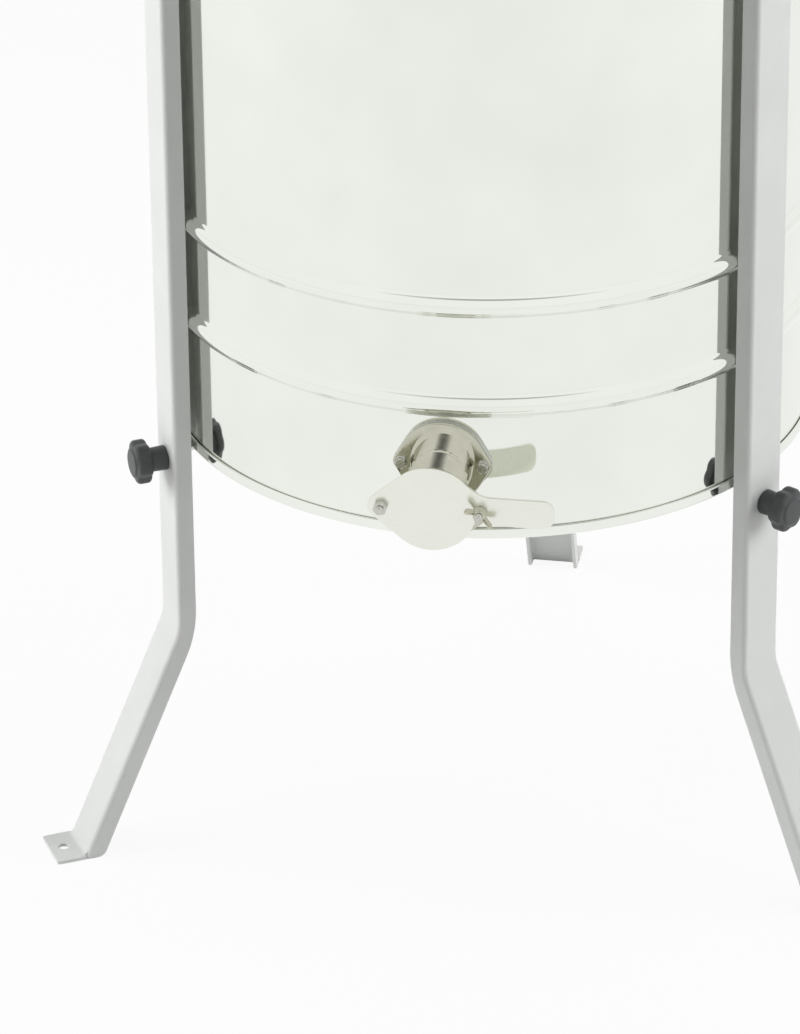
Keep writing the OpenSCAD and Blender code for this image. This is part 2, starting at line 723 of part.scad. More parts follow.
module basket_rods() color("gainsboro") {
    outer = rail_x + 4 + pocket_d + 4;
    h = basket_z1 - basket_z0 - 4;
    for (q = [0 : 3]) rotate([0, 0, q * 90]) {
        for (s = [-1, 1]) translate([outer, s * rail_x, basket_z0 + 4]) cylinder(r = 4, h = h, $fn = 24);
        translate([rail_x, rail_x, basket_z0 + 4]) cylinder(r = 4, h = h, $fn = 24);
        for (z = [0.2, 0.4, 0.6, 0.8]) translate([rail_x, 0, basket_z0 + 4 + z * h])
            rotate([90, 0, 0]) cylinder(r = 2, h = 2 * (rail_x - 4.3), center = true, $fn = 24);
    }
}

// Welded wire screens, one behind each pocket
module basket_screens() color("gainsboro") {
    wire = 2;
    x0 = rail_x + 4 + pocket_d + 1;
    z0 = basket_z0 + 4.2;
    h = basket_z1 - basket_z0 - 4.4;
    w = 2 * (rail_x - 4.4);
    nx = 6;
    nz = 9;
    for (q = [0 : 3]) rotate([0, 0, q * 90]) translate([x0, 0, z0]) {
        for (i = [0 : nx]) translate([0, -w / 2 + i * (w - wire) / nx, 0]) cube([wire, wire, h]);
        for (i = [0 : nz]) translate([wire - 0.4, -w / 2, i * (h - wire) / nz]) cube([wire, w, wire]);
    }
}

// ---------- lids ----------

// side is 1 for the rear lid and -1 for the front lid
module to_side(side) rotate([0, 0, side > 0 ? 0 : 180]) children();

module knuckle(x, l, bore) translate([x, hinge_y, hinge_z]) rotate([0, 90, 0]) difference() {
    cylinder(r = hinge_r, h = l, $fn = 48);
    translate([0, 0, -1]) cylinder(r = bore, h = l + 2, $fn = 48);
}

module hinge_bases() color("gainsboro") for (side = [-1, 1], x = [-hinge_x, hinge_x]) to_side(side) {
    difference() {
        union() {
            translate([x - 30, bar_w / 2, bar_z0 + 1]) cube([60, 2, 18]);
            for (e = [-30, 12]) translate([x + e, bar_w / 2 + 1, hinge_z - 1.5])
                cube([18, hinge_y - bar_w / 2 - 1, 3]);
        }
        translate([x - 31, hinge_y, hinge_z]) rotate([0, 90, 0]) cylinder(r = hinge_r - 0.5, h = 62, $fn = 48);
    }
    for (e = [-30, 12]) knuckle(x + e, 18, hinge_pin_r);
}

module hinge_pins() color("silver") for (side = [-1, 1], x = [-hinge_x, hinge_x])
    to_side(side) translate([x - 31, hinge_y, hinge_z]) rotate([0, 90, 0])
        cylinder(r = hinge_pin_r, h = 62, $fn = 48);

module lid(side) color("lightcyan", 0.4) to_side(side) translate([0, 0, lid_z])
    linear_extrude(lid_t) intersection() {
        circle(lid_r, $fn = 180);
        translate([-lid_r, lid_y]) square([2 * lid_r, lid_r]);
    }

module lid_leaves(side) color("gainsboro") to_side(side) for (x = [-hinge_x, hinge_x]) {
    translate([x - 28, hinge_y + 5, lid_z + lid_t]) cube([56, 22, 1.5]);
    difference() {
        translate([x - 11.5, hinge_y, lid_z + lid_t]) cube([23, 8, 1.5]);
        translate([x - 12, hinge_y, hinge_z]) rotate([0, 90, 0]) cylinder(r = hinge_r - 0.6, h = 24, $fn = 48);
    }
    knuckle(x - 11.5, 23, hinge_pin_r + run_gap);
}

module lid_knob(side) color("dimgray") to_side(side) translate([70, 205, lid_z + lid_t])
    rotate_extrude() polygon([
        [0, 0], [9, 0], [8, 3], [7, 8], [8, 12], [13, 15], [14, 18], [12.5, 21], [8, 22.5], [0, 23]
    ]);

module lid_front() lid(-1);
module lid_rear() lid(1);
module lid_front_leaves() lid_leaves(-1);
module lid_rear_leaves() lid_leaves(1);
module lid_front_knob() lid_knob(-1);
module lid_rear_knob() lid_knob(1);

// ---------- drawing ----------

drum_shell();
drum_bottom();
leg_front_left();
leg_front_right();
leg_rear();
leg_brackets();
leg_spacers();
leg_top_bolts();
knob_front_left();
knob_front_right();
knob_rear();
knob_stud_front_left();
knob_stud_front_right();
knob_stud_rear();
gate_gasket();
gate_flange();
gate_flange_bolts();
gate_body();
gate_seal();
gate_pivot_bolt();
gate_pivot_nut();
gate_stud();
gate_blade();
wing_nut();
cross_bar();
bar_brackets();
bar_wall_bolts();
bar_top_bolts();
bottom_boss();
bottom_bush();
thrust_ball();
upper_bearing_housing();
upper_bearing();
gear_case();
gear_case_cover();
gear_case_bolts();
crank_bushes();
pillow_block();
pillow_block_bolts();
basket_shaft();
basket_pinion();
basket_collars();
basket_top_frame();
basket_bottom_frame();
basket_rods();
basket_screens();
crank_shaft();
crank_gear();
crank_arm();
grip_bolt();
crank_grip();
hinge_bases();
hinge_pins();
lid_front();
lid_rear();
lid_front_leaves();
lid_rear_leaves();
lid_front_knob();
lid_rear_knob();
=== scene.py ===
"""A honey extractor: a polished steel drum on three painted legs, with a honey gate and a hand crank."""

import json
import math

import bmesh
import bpy
from mathutils import Matrix, Vector


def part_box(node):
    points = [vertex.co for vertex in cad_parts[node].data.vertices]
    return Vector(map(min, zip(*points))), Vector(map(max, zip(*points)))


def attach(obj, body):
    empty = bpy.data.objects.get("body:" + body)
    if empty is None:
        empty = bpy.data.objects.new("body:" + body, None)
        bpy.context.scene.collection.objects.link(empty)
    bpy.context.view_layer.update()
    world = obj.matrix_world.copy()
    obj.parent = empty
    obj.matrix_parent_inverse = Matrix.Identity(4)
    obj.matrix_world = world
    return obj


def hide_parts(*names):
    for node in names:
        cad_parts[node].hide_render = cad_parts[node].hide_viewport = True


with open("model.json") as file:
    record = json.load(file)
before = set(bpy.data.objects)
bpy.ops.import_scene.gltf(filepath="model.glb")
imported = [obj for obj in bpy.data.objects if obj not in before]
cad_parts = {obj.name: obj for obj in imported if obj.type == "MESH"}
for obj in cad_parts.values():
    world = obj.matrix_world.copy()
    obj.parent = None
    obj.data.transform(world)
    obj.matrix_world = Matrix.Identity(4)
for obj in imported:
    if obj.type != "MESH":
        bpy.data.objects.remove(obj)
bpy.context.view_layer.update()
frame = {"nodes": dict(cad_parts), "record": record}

MM = 0.001
RECORD = frame["record"]
BODY_OF = {node: body for body, nodes in RECORD["behaviour"]["bodies"].items() for node in nodes}
SLOT_OF = {part["node"]: part["material_slot"] for part in RECORD["subparts"]}


def span(node, axis):
    """Lowest and highest value of a CAD node along an axis, in millimetres."""
    low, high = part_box(node)
    return low["xyz".index(axis)] / MM, high["xyz".index(axis)] / MM


# ---------- sizes, in millimetres ----------

# Drum
RIM_R = span("drum_shell", "x")[1]
RIM_TOP = span("drum_shell", "z")[1]
RIM_BEAD_R = 4.5
DRUM_R = RIM_R - 2 * RIM_BEAD_R + 1
SHEET = 1.0
BEAD_OUT = 5.0
BEAD_H = 17.0
BEAD_Z = [476.0, 561.0, 900.0]
BEAD_FILLET = 4.0
DRUM_FOOT, CONE_TOP = span("drum_bottom", "z")
FLOOR_Z = 400.0
HEM_H = 9.0
HEM_OUT = 2.6

# Legs
LEG_TURN = -1.0
LEG_ANGLES = {"front_left": -60 + LEG_TURN, "front_right": 60 + LEG_TURN, "rear": 180 + LEG_TURN}
LEG_TOP = span("leg_rear", "z")[1]
LEG_W = 44.0
LEG_D = 15.3
LEG_T = 3.0
LEG_IN = math.sqrt((DRUM_R + BEAD_OUT) ** 2 - (LEG_W / 2 - LEG_T) ** 2) + 0.15
LEG_OUT = LEG_IN + LEG_D
SPLAY = 23.7
BEND_Z = 194.0
BEND_IN_R = 105.0
BEND_OUT_R = 45.0
SPLAY_TAN = math.tan(math.radians(SPLAY))
HALF_SPLAY_TAN = math.tan(math.radians(SPLAY / 2))
OUT_BEND_Z = BEND_Z + LEG_D * HALF_SPLAY_TAN
FOOT_OUT = LEG_OUT + OUT_BEND_Z * SPLAY_TAN
PAD_L = 23.7
FOOT_HOLE_AT = 378.0
FOOT_HOLE_R = 4.25
KNOB_Z = 348.0
BRACKET_R = 257.6
BRACKET_Z = KNOB_Z + 6.5
LONG_NUT_R = 265.0
KNOB_R = 18.0
TOP_BOLT_Z = 868.0

# Gate, outward along the outlet from the drum axis; its tube slopes down to the seat
GATE_Z = 428.0
FLANGE_IN, FLANGE_OUT = DRUM_R + 2.5, DRUM_R + 6.5
FLANGE_BOLT_X = 32.0
NECK_R = 23.0
BORE_R = 20.5
WELD_IN = FLANGE_OUT + 13.0
COLLAR_IN = WELD_IN + 2.4
BLADE_IN, BLADE_OUT = -span("gate_blade", "y")[1], -span("gate_blade", "y")[0]
SEAT_T = 3.0
SEAT_FRONT = BLADE_IN - 0.3
SEAT_BACK = SEAT_FRONT - SEAT_T
SEAT_X = -4.6
SEAT_DROP = 23.6
SEAL_R = 28.6, 30.6
DISC_R = 35.6
EAR_X = 38.8
HANDLE_X = span("gate_blade", "x")[1] - SEAT_X

# Bar, lids and drive
BAR_LOW, BAR_TOP = span("cross_bar", "z")
CRANK_Z = BAR_TOP + 44.5
ARM_L = 150.0
LID_LOW = span("lid_rear", "z")[0]
LID_R = span("lid_rear", "y")[1]
LID_Y = span("lid_rear", "y")[0]

# Metric bolts and studs: outer radius, pitch and depth of the thread
M5 = 2.5, 0.8, 0.4
M6 = 3.0, 1.0, 0.5
M8 = 4.0, 1.25, 0.6

# ---------- local frames ----------

UPRIGHT = Matrix.Identity(4)


def outward(height, x=0.0):
    """Local +Z runs out of the drum along -Y, and local +Y is up."""
    return Matrix.Translation((x, 0, height)) @ Matrix.Rotation(math.radians(90), 4, "X")


def along_x(height):
    """Local +Z runs along +X from the drum's axis, and local +X hangs down."""
    return Matrix.Translation((0, 0, height)) @ Matrix.Rotation(math.radians(90), 4, "Y")


def turned(angle, place=UPRIGHT):
    """The same frame, turned round the drum's axis."""
    return Matrix.Rotation(math.radians(angle), 4, "Z") @ place


def lifted(place, x=0.0, y=0.0, z=0.0, spin=0.0):
    """The same frame, moved within itself and then spun about its own Z."""
    return place @ Matrix.Translation((x, y, z)) @ Matrix.Rotation(math.radians(spin), 4, "Z")


# ---------- outlines ----------


def arc(centre, radius, start, end, steps):
    """Points along an arc, angles in degrees, both ends included."""
    turns = [math.radians(start + (end - start) * i / steps) for i in range(steps + 1)]
    return [(centre[0] + radius * math.cos(t), centre[1] + radius * math.sin(t)) for t in turns]


def circle(radius, steps=64, centre=(0.0, 0.0)):
    return arc(centre, radius, 0, 360, steps)[:-1]


def rounded(corners, closed=True, steps=4):
    """Outline through corners (x, y, radius): each corner with a radius becomes an arc."""
    made = []
    count = len(corners)
    for i, corner in enumerate(corners):
        here = Vector(corner[:2])
        radius = corner[2] if len(corner) > 2 else 0
        if radius == 0 or (not closed and i in (0, count - 1)):
            made.append(tuple(here))
            continue
        back = (Vector(corners[i - 1][:2]) - here).normalized()
        ahead = (Vector(corners[(i + 1) % count][:2]) - here).normalized()
        half = back.angle(ahead) / 2
        centre = here + (back + ahead).normalized() * radius / math.sin(half)
        first = here + back * radius / math.tan(half) - centre
        last = here + ahead * radius / math.tan(half) - centre
        sweep = first.angle_signed(last)
        for k in range(steps + 1):
            made.append(tuple(centre + Matrix.Rotation(-sweep * k / steps, 2) @ first))
    return made


def grown(loop, distance):
    """A counter-clockwise loop moved outward by a distance, or inward if it is negative."""
    made = []
    for i, here in enumerate(loop):
        before, after = Vector(loop[i - 1]), Vector(loop[(i + 1) % len(loop)])
        a = (Vector(here) - before).normalized()
        b = (after - Vector(here)).normalized()
        out = Vector((a.y + b.y, -a.x - b.x))
        out.normalize()
        reach = distance / max(0.5, out.dot(Vector((a.y, -a.x))))
        made.append((here[0] + out.x * reach, here[1] + out.y * reach))
    return made


def two_ears(radius, ear, x, steps=20):
    """Outline of a disc with an ear on each side, joined by straight edges that touch the arcs."""
    a = math.degrees(math.acos((radius - ear) / x))
    return (
        arc((x, 0), ear, -a, a, steps)
        + arc((0, 0), radius, a, 180 - a, steps)
        + arc((-x, 0), ear, 180 - a, 180 + a, steps)
        + arc((0, 0), radius, 180 + a, 360 - a, steps)
    )


# ---------- solids ----------


def loft(bm, loops, place=UPRIGHT, caps=True, ring=False):
    """Skins a row of closed loops. caps fills both ends, ring joins the last loop to the first."""
    rows = [[bm.verts.new(place @ Vector(p)) for p in loop] for loop in loops]
    pairs = list(zip(rows, rows[1:])) + ([(rows[-1], rows[0])] if ring else [])
    for low, high in pairs:
        for i in range(len(low)):
            j = (i + 1) % len(low)
            bm.faces.new((low[i], low[j], high[j], high[i]))
    if caps and not ring:
        bm.faces.new(rows[0][::-1])
        bm.faces.new(rows[-1])
    return rows


def lathe(bm, profile, place=UPRIGHT, sides=96, hollow=False, lobes=None):
    """Turns a profile of (radius, height). lobes(angle, point index) scales the radius."""
    loops = []
    for k, (radius, height) in enumerate(profile):
        loop = []
        for i in range(sides):
            t = math.tau * i / sides
            reach = max(radius, 1e-4) * (lobes(t, k) if lobes else 1)
            loop.append((reach * math.cos(t), reach * math.sin(t), height))
        loops.append(loop)
    loft(bm, loops, place, caps=not hollow, ring=hollow)


def plate(bm, outline, low, high, place=UPRIGHT, holes=(), edge=0.4, steps=3):
    """Extrudes an outline with holes between two heights, its edges rounded."""
    turns = [math.radians(90 * k / steps) for k in range(steps + 1)]
    rise = [(edge * (1 - math.sin(t)), low + edge * (1 - math.cos(t))) for t in turns]
    levels = rise + [(inset, low + high - z) for inset, z in reversed(rise)]
    bottom, top = [], []
    for loop, sign in [(outline, -1)] + [(hole, 1) for hole in holes]:
        rows = loft(
            bm, [[(x, y, z) for x, y in grown(loop, sign * inset)] for inset, z in levels],
            place, caps=False,
        )
        for row, rims in ((rows[0], bottom), (rows[-1], top)):
            rims += [bm.edges.get((row[i], row[i - 1])) for i in range(len(row))]
    for rims in (bottom, top):
        bmesh.ops.triangle_fill(bm, use_beauty=True, use_dissolve=False, edges=rims)


def rod(bm, start, end, radius, sides, edge=0.3):
    """A round bar between two points, its ends eased."""
    start, end = Vector(start), Vector(end)
    length = (end - start).length
    place = Matrix.Translation(start) @ (end - start).to_track_quat("Z", "Y").to_matrix().to_4x4()
    profile = [(radius - edge, 0), (radius, edge), (radius, length - edge), (radius - edge, length)]
    lathe(bm, profile, place, sides)


def wire(bm, path, radius, sides):
    """A round wire along a path of points."""
    points = [Vector(p) for p in path]
    turns = [math.tau * k / sides for k in range(sides)]
    normal = None
    loops = []
    for i, here in enumerate(points):
        before = points[i - 1] if i else here
        after = points[i + 1] if i + 1 < len(points) else here
        along = (after - before).normalized()
        if normal is None:
            normal = along.orthogonal().normalized()
        normal = (normal - along * normal.dot(along)).normalized()
        side = along.cross(normal)
        loops.append([here + radius * (normal * math.cos(t) + side * math.sin(t)) for t in turns])
    loft(bm, loops)


def hexagon(bm, corner_r, low, high, place=UPRIGHT, bore=0.0, both=False, sides=48):
    """A bolt head or nut: six flats, with the turned chamfer that rounds its corners."""
    flat_r = corner_r * math.cos(math.radians(30))
    turns = [math.tau * i / sides for i in range(sides)]
    reach = [flat_r / math.cos(t % math.radians(60) - math.radians(30)) for t in turns]
    chamfer, least_drop, face_share = math.tan(math.radians(28)), 0.15, 0.96
    drop = [(r - flat_r) * chamfer + least_drop for r in reach]

    def ring_at(radii, heights):
        return [(r * math.cos(t), r * math.sin(t), z) for r, t, z in zip(radii, turns, heights)]

    face_r = [flat_r * face_share] * sides
    loops = [ring_at(reach, [low] * sides)]
    if both:
        loops = [ring_at(face_r, [low] * sides), ring_at(reach, [low + d for d in drop])]
    loops += [ring_at(reach, [high - d for d in drop]), ring_at(face_r, [high] * sides)]
    if bore:
        loops += [ring_at([bore] * sides, [z] * sides) for z in (high, low)]
    loft(bm, loops, place, caps=not bore, ring=bool(bore))


def thread(bm, size, low, high, place=UPRIGHT, sides=40):
    """A real helical thread, its ends chamfered. size is (outer radius, pitch, depth)."""
    radius, pitch, depth = size
    rows_per_turn, lead_in, root_flat = 8, 0.15, 1.25
    count = max(2, round((high - low) / pitch * rows_per_turn))
    loops = []
    for k in range(count + 1):
        z = low + (high - low) * k / count
        ease = min(1, (min(z - low, high - z) + lead_in) / pitch)
        loop = []
        for i in range(sides):
            t = math.tau * i / sides
            saw = abs(2 * ((z / pitch - i / sides) % 1) - 1)
            cut = depth * min(1, root_flat * saw) * ease + depth * (1 - ease)
            loop.append(((radius - cut) * math.cos(t), (radius - cut) * math.sin(t), z))
        loops.append(loop)
    loft(bm, loops, place)


def washer(bm, bore, rim, low, thick, ease, place):
    """A flat washer, its upper edge eased more than its lower one."""
    high = low + thick
    profile = rounded([(bore, low), (rim, low, 0.3), (rim, high, ease), (bore, high)])
    lathe(bm, profile, place, 48, hollow=True)


# ---------- materials ----------

# The range that most of a noise texture's values fall in
NOISE_LOW, NOISE_HIGH = 0.3, 0.7
# The colour sockets of a Mix node, which share their names with its other sockets
MIX_A, MIX_B, MIX_RESULT = 6, 7, 2


def linear(code):
    """An sRGB hex colour as linear RGBA."""
    parts = [int(code[i:i + 2], 16) / 255 for i in (1, 3, 5)]
    return tuple(p / 12.92 if p <= 0.04045 else ((p + 0.055) / 1.055) ** 2.4 for p in parts) + (1.0,)


def add(tree, kind, inputs=None, **settings):
    """Adds a node: settings go on the node, and each input is a value or another node's socket."""
    made = tree.nodes.new(kind)
    for name, value in settings.items():
        setattr(made, name, value)
    for name, value in (inputs or {}).items():
        if isinstance(value, bpy.types.NodeSocket):
            tree.links.new(value, made.inputs[name])
        else:
            made.inputs[name].default_value = value
    return made


def finish(name, shades=None, rough=None, bumps=(), even=False, **sockets):
    """A material whose colour, gloss and relief each follow noise of a real size.

    shades is (hex, hex, size, detail) and rough is (low, high, size, detail). Each bump is
    (size, detail, depth) and may add a stretch for each axis. Sizes and depths are in
    millimetres. even spreads the two shades equally, and sockets are constants on the shader.
    """
    made = bpy.data.materials.new(name)
    made.use_nodes = True
    tree = made.node_tree
    shader = tree.nodes["Principled BSDF"]
    for socket, value in sockets.items():
        shader.inputs[socket.replace("_", " ")].default_value = value
    wanted = {key: layer for key, layer in (("shades", shades), ("rough", rough)) if layer}
    patterns = [(key, layer[2], layer[3], (1, 1, 1)) for key, layer in wanted.items()]
    patterns += [(k, *bump[:2], bump[3] if len(bump) > 3 else (1, 1, 1)) for k, bump in enumerate(bumps)]
    where = add(tree, "ShaderNodeTexCoord").outputs["Object"]
    field = {}
    for key, size, detail, stretch in patterns:
        coords = add(tree, "ShaderNodeMapping", {"Vector": where, "Scale": stretch}).outputs["Vector"]
        inputs = {"Vector": coords, "Scale": 1 / (size * MM), "Detail": detail}
        field[key] = add(tree, "ShaderNodeTexNoise", inputs).outputs["Fac"]
    ranges = {"shades": (0, 1)} if even else {}
    if rough:
        ranges["rough"] = rough[:2]
    for key, (low, high) in ranges.items():
        inputs = {"Value": field[key], "From Min": NOISE_LOW, "From Max": NOISE_HIGH}
        inputs |= {"To Min": low, "To Max": high}
        field[key] = add(tree, "ShaderNodeMapRange", inputs).outputs["Result"]
    if shades:
        inputs = {"Factor": field["shades"], MIX_A: linear(shades[0]), MIX_B: linear(shades[1])}
        mix = add(tree, "ShaderNodeMix", inputs, data_type="RGBA")
        tree.links.new(mix.outputs[MIX_RESULT], shader.inputs["Base Color"])
    if rough:
        tree.links.new(field["rough"], shader.inputs["Roughness"])
    normal = None
    for k, bump in enumerate(bumps):
        inputs = {"Height": field[k], "Distance": bump[2] * MM, "Strength": 1.0}
        if normal:
            inputs["Normal"] = normal
        normal = add(tree, "ShaderNodeBump", inputs).outputs["Normal"]
    tree.links.new(normal, shader.inputs["Normal"])
    return made


# Tool rings and grits finer than about half a millimetre are drawn at that size, so that they show.
FINISH = {
    # Bright-annealed stainless sheet, rolled and beaded: a mirror with a faint long wave in it.
    # The second bump is the rolling grain.
    "polished_steel": finish(
        "bright_annealed_sheet", ("#E9ECE5", "#EEF0EA", 90, 2), (0.035, 0.085, 35, 3),
        [(110, 1, 0.35, (1, 1, 0.6)), (0.9, 2, 0.0006, (1, 1, 0.04))], even=True, Metallic=1.0,
    ),
    # Laser-cut stainless plate, tumbled with ceramic media: an even satin that blurs what it reflects.
    "satin_sheet": finish(
        "tumbled_satin_plate", ("#E6E7DE", "#ECEDE4", 30, 3), (0.2, 0.28, 9, 3),
        [(0.5, 2, 0.0015), (25, 1, 0.02)], Metallic=1.0,
    ),
    # Investment-cast stainless, barrel-polished: bright but soft-edged, with faint casting dimples.
    "cast_steel": finish(
        "tumbled_stainless_casting", ("#B8B7A6", "#CAC9BB", 12, 3), (0.10, 0.2, 5, 4),
        [(6, 2, 0.05), (0.8, 2, 0.004)], Metallic=1.0,
    ),
    # Drawn or lathe-turned stainless: satin, with fine tool rings.
    "turned_steel": finish(
        "turned_stainless", ("#C6C6C0", "#D6D6D0", 9, 3), (0.2, 0.32, 3, 4),
        [(0.4, 2, 0.002, (0.03, 0.03, 1))], Metallic=1.0, Anisotropic=0.35,
    ),
    # Cold-headed stainless bolts and nuts: satin flats, a little duller in the corners.
    "steel_fasteners": finish(
        "cold_headed_fastener_steel", ("#BDBDB6", "#D0D0CA", 4, 4), (0.16, 0.3, 2, 4),
        [(0.7, 3, 0.006)], Metallic=1.0,
    ),
    # Welded stainless bar and wire, electropolished: bright, with heat-dulled patches.
    "basket_wire": finish(
        "electropolished_wire", ("#C2C2BB", "#D8D8D2", 14, 3), (0.16, 0.3, 7, 3),
        [(1.2, 2, 0.01)], Metallic=1.0,
    ),
    # Light grey polyester powder coat, oven-cured: satin with a very fine orange peel.
    "leg_paint": finish(
        "powder_coat_light_grey", ("#D8DAD8", "#DDDFDD", 60, 3), (0.36, 0.48, 2, 3),
        [(1.6, 2, 0.012), (25, 1, 0.03)], even=True, IOR=1.5,
    ),
    # Glass-filled nylon, injection moulded in a spark-eroded tool: dark grey with a fine matt grain.
    "black_plastic": finish(
        "moulded_black_nylon", ("#323435", "#444647", 6, 4), (0.36, 0.52, 1, 3),
        [(0.5, 2, 0.012)], IOR=1.53,
    ),
    # PTFE, turned from bar: milky, waxy and slightly translucent.
    "white_ptfe": finish(
        "turned_ptfe", ("#EDECE6", "#F4F3EE", 5, 3), None, [(0.4, 2, 0.01, (0.05, 0.05, 1))],
        Roughness=0.5, IOR=1.35, Subsurface_Weight=0.2,
    ),
    # Food-grade silicone sheet, cut to shape: milky grey and matt with a faint bloom.
    "gasket_rubber": finish(
        "cut_silicone_sheet", ("#B9BBB4", "#C6C8C1", 4, 4), (0.6, 0.8, 2, 3),
        [(0.6, 3, 0.02)], IOR=1.43,
    ),
    # Cast acrylic sheet with flame-polished edges: clear, very slightly cool.
    "clear_acrylic": finish(
        "cast_acrylic_sheet", None, (0.01, 0.05, 40, 3), [(120, 1, 0.08)],
        Base_Color=linear("#EEF4F4"), IOR=1.49, Transmission_Weight=1.0,
    ),
    # Cut brass gears: warm, bright on the tooth flanks and duller between.
    "gear_brass": finish(
        "hobbed_gear_brass", ("#C39A48", "#DDB867", 6, 4), (0.2, 0.36, 3, 3),
        [(0.6, 3, 0.006)], Metallic=1.0,
    ),
    # Oil-filled sintered bronze: brown, matt and slightly porous.
    "bush_bronze": finish(
        "sintered_bronze", ("#9A6B3C", "#BB8A55", 1, 4), (0.35, 0.5, 0.8, 3),
        [(0.5, 3, 0.02)], Metallic=1.0,
    ),
    # Sand-cast aluminium, bead-blasted: pale and matt with an even grain.
    "cast_aluminium": finish(
        "bead_blasted_casting", ("#B4B6B6", "#C4C6C6", 20, 4), (0.42, 0.56, 3, 3),
        [(0.9, 3, 0.04), (14, 2, 0.12)], Metallic=1.0,
    ),
}


def piece(name, bm, node, crease=32):
    """Makes an object of a shape drawn in millimetres, and lets it stand for a CAD node."""
    bmesh.ops.scale(bm, vec=(MM, MM, MM), verts=bm.verts)
    bmesh.ops.remove_doubles(bm, verts=bm.verts, dist=0.002 * MM)
    bmesh.ops.recalc_face_normals(bm, faces=bm.faces)
    mesh = bpy.data.meshes.new(name)
    bm.to_mesh(mesh)
    bm.free()
    mesh.shade_smooth()
    mesh.set_sharp_from_angle(angle=math.radians(crease))
    mesh.materials.append(FINISH[SLOT_OF[node]])
    made = bpy.data.objects.new(name, mesh)
    bpy.context.scene.collection.objects.link(made)
    flat = made.modifiers.new("flat_faces", "WEIGHTED_NORMAL")
    flat.keep_sharp = True
    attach(made, BODY_OF[node])
    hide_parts(node)


# ---------- drum ----------


def bead_side(z, inset, up):
    """Half-round bead rolled into the sheet, with a small fillet where it leaves the wall."""
    crest_r = (BEAD_H ** 2 / 4 + BEAD_OUT ** 2) / (2 * BEAD_OUT)
    centre = DRUM_R + BEAD_OUT - crest_r
    wall, crest, fillet = DRUM_R - inset, crest_r - inset, BEAD_FILLET + inset
    across = wall + fillet - centre
    rise = math.sqrt((crest + fillet) ** 2 - across ** 2)
    lean = math.degrees(math.atan2(rise, across))
    low = arc((wall + fillet, z - rise), fillet, 180, 180 - lean, 5)
    middle = arc((centre, z), crest, -lean, lean, 28)
    high = arc((wall + fillet, z + rise), fillet, 180 + lean, 180, 5)
    points = low + middle[1:-1] + high
    return points if up else points[::-1]


def drum_wall():
    """The wall: three rolled beads and a rim curled outward round a wire."""
    outside = [(DRUM_R, DRUM_FOOT + 1.3)]
    for z in BEAD_Z:
        outside += bead_side(z, 0, True)
    rim_z = RIM_TOP - RIM_BEAD_R
    rim_c = RIM_R - RIM_BEAD_R
    start = math.degrees(math.acos((DRUM_R - rim_c) / RIM_BEAD_R))
    rim = arc((rim_c, rim_z), RIM_BEAD_R, -start, 180, 28)
    inside = []
    for z in reversed(BEAD_Z):
        inside += bead_side(z, SHEET, False)
    inside.append((DRUM_R - SHEET, DRUM_FOOT + 1.3))
    bm = bmesh.new()
    lathe(bm, outside + rim + inside, sides=360, hollow=True)
    piece("drum_wall", bm, "drum_shell")


def drum_floor():
    """Pressed bottom: a low cone with a skirt, and a hem folded up outside the wall."""
    wall_in = DRUM_R - SHEET - 0.1
    hem_top = DRUM_FOOT + HEM_H
    hem_in = DRUM_R + 0.45
    cone_r = 30.0
    profile = rounded([
        (hem_in, DRUM_FOOT + 1.2, 0.3), (hem_in, hem_top, 0.5), (DRUM_R + HEM_OUT, hem_top, 1.3),
        (DRUM_R + HEM_OUT, DRUM_FOOT, 1.8), (wall_in - SHEET, DRUM_FOOT, 0.6),
        (wall_in - SHEET, FLOOR_Z - SHEET, 5), (cone_r, CONE_TOP - SHEET, 20), (0, CONE_TOP - SHEET),
        (0, CONE_TOP), (cone_r, CONE_TOP, 20), (wall_in, FLOOR_Z, 6), (wall_in, DRUM_FOOT + 1.2, 0.3),
    ], closed=False, steps=6)
    bm = bmesh.new()
    lathe(bm, profile, sides=360, hollow=True)
    piece("drum_floor_and_hem", bm, "drum_bottom")


# ---------- legs ----------


def leg_stations():
    """Pairs of points down the leg, (radius, height) on its outer face and on its free edges."""
    out_c = (LEG_OUT + BEND_OUT_R, OUT_BEND_Z + BEND_OUT_R * HALF_SPLAY_TAN)
    in_c = (LEG_IN + BEND_IN_R, BEND_Z + BEND_IN_R * HALF_SPLAY_TAN)
    stations = [((LEG_OUT, z), (LEG_IN, z)) for z in (LEG_TOP, LEG_TOP - 1, 700, 400, in_c[1] + 10)]
    stations += list(zip(
        arc(out_c, BEND_OUT_R, 180, 180 + SPLAY, 16), arc(in_c, BEND_IN_R, 180, 180 + SPLAY, 16),
    ))
    foot_in = LEG_IN + BEND_Z * SPLAY_TAN
    toe_r, toe_rise, lead = 7.0, 14.0, 50
    toe = rounded([
        (foot_in - lead * SPLAY_TAN, lead), (foot_in, 0, toe_r), (FOOT_OUT, 0),
    ], closed=False, steps=6)[1:-1]
    for k, inner in enumerate(toe):
        z = toe_rise * (1 - k / (len(toe) - 1))
        stations.append(((FOOT_OUT - z * SPLAY_TAN, z), inner))
    return stations


def leg_section(outer, inner):
    """The channel's outline across the leg at one station."""
    outer, inner = Vector(outer), Vector(inner)
    depth = (inner - outer).length
    along = (inner - outer) / depth
    half = LEG_W / 2
    lip, bend = 1.0, 4.2
    corners = [
        (-half, depth, lip), (-half, 0, bend), (half, 0, bend), (half, depth, lip),
        (half - LEG_T, depth, lip), (half - LEG_T, LEG_T, bend - LEG_T),
        (-half + LEG_T, LEG_T, bend - LEG_T), (-half + LEG_T, depth, lip),
    ]
    made = []
    for across, deep in rounded(corners, steps=6):
        at = outer + along * deep
        made.append((across, -at.x, at.y))
    return made


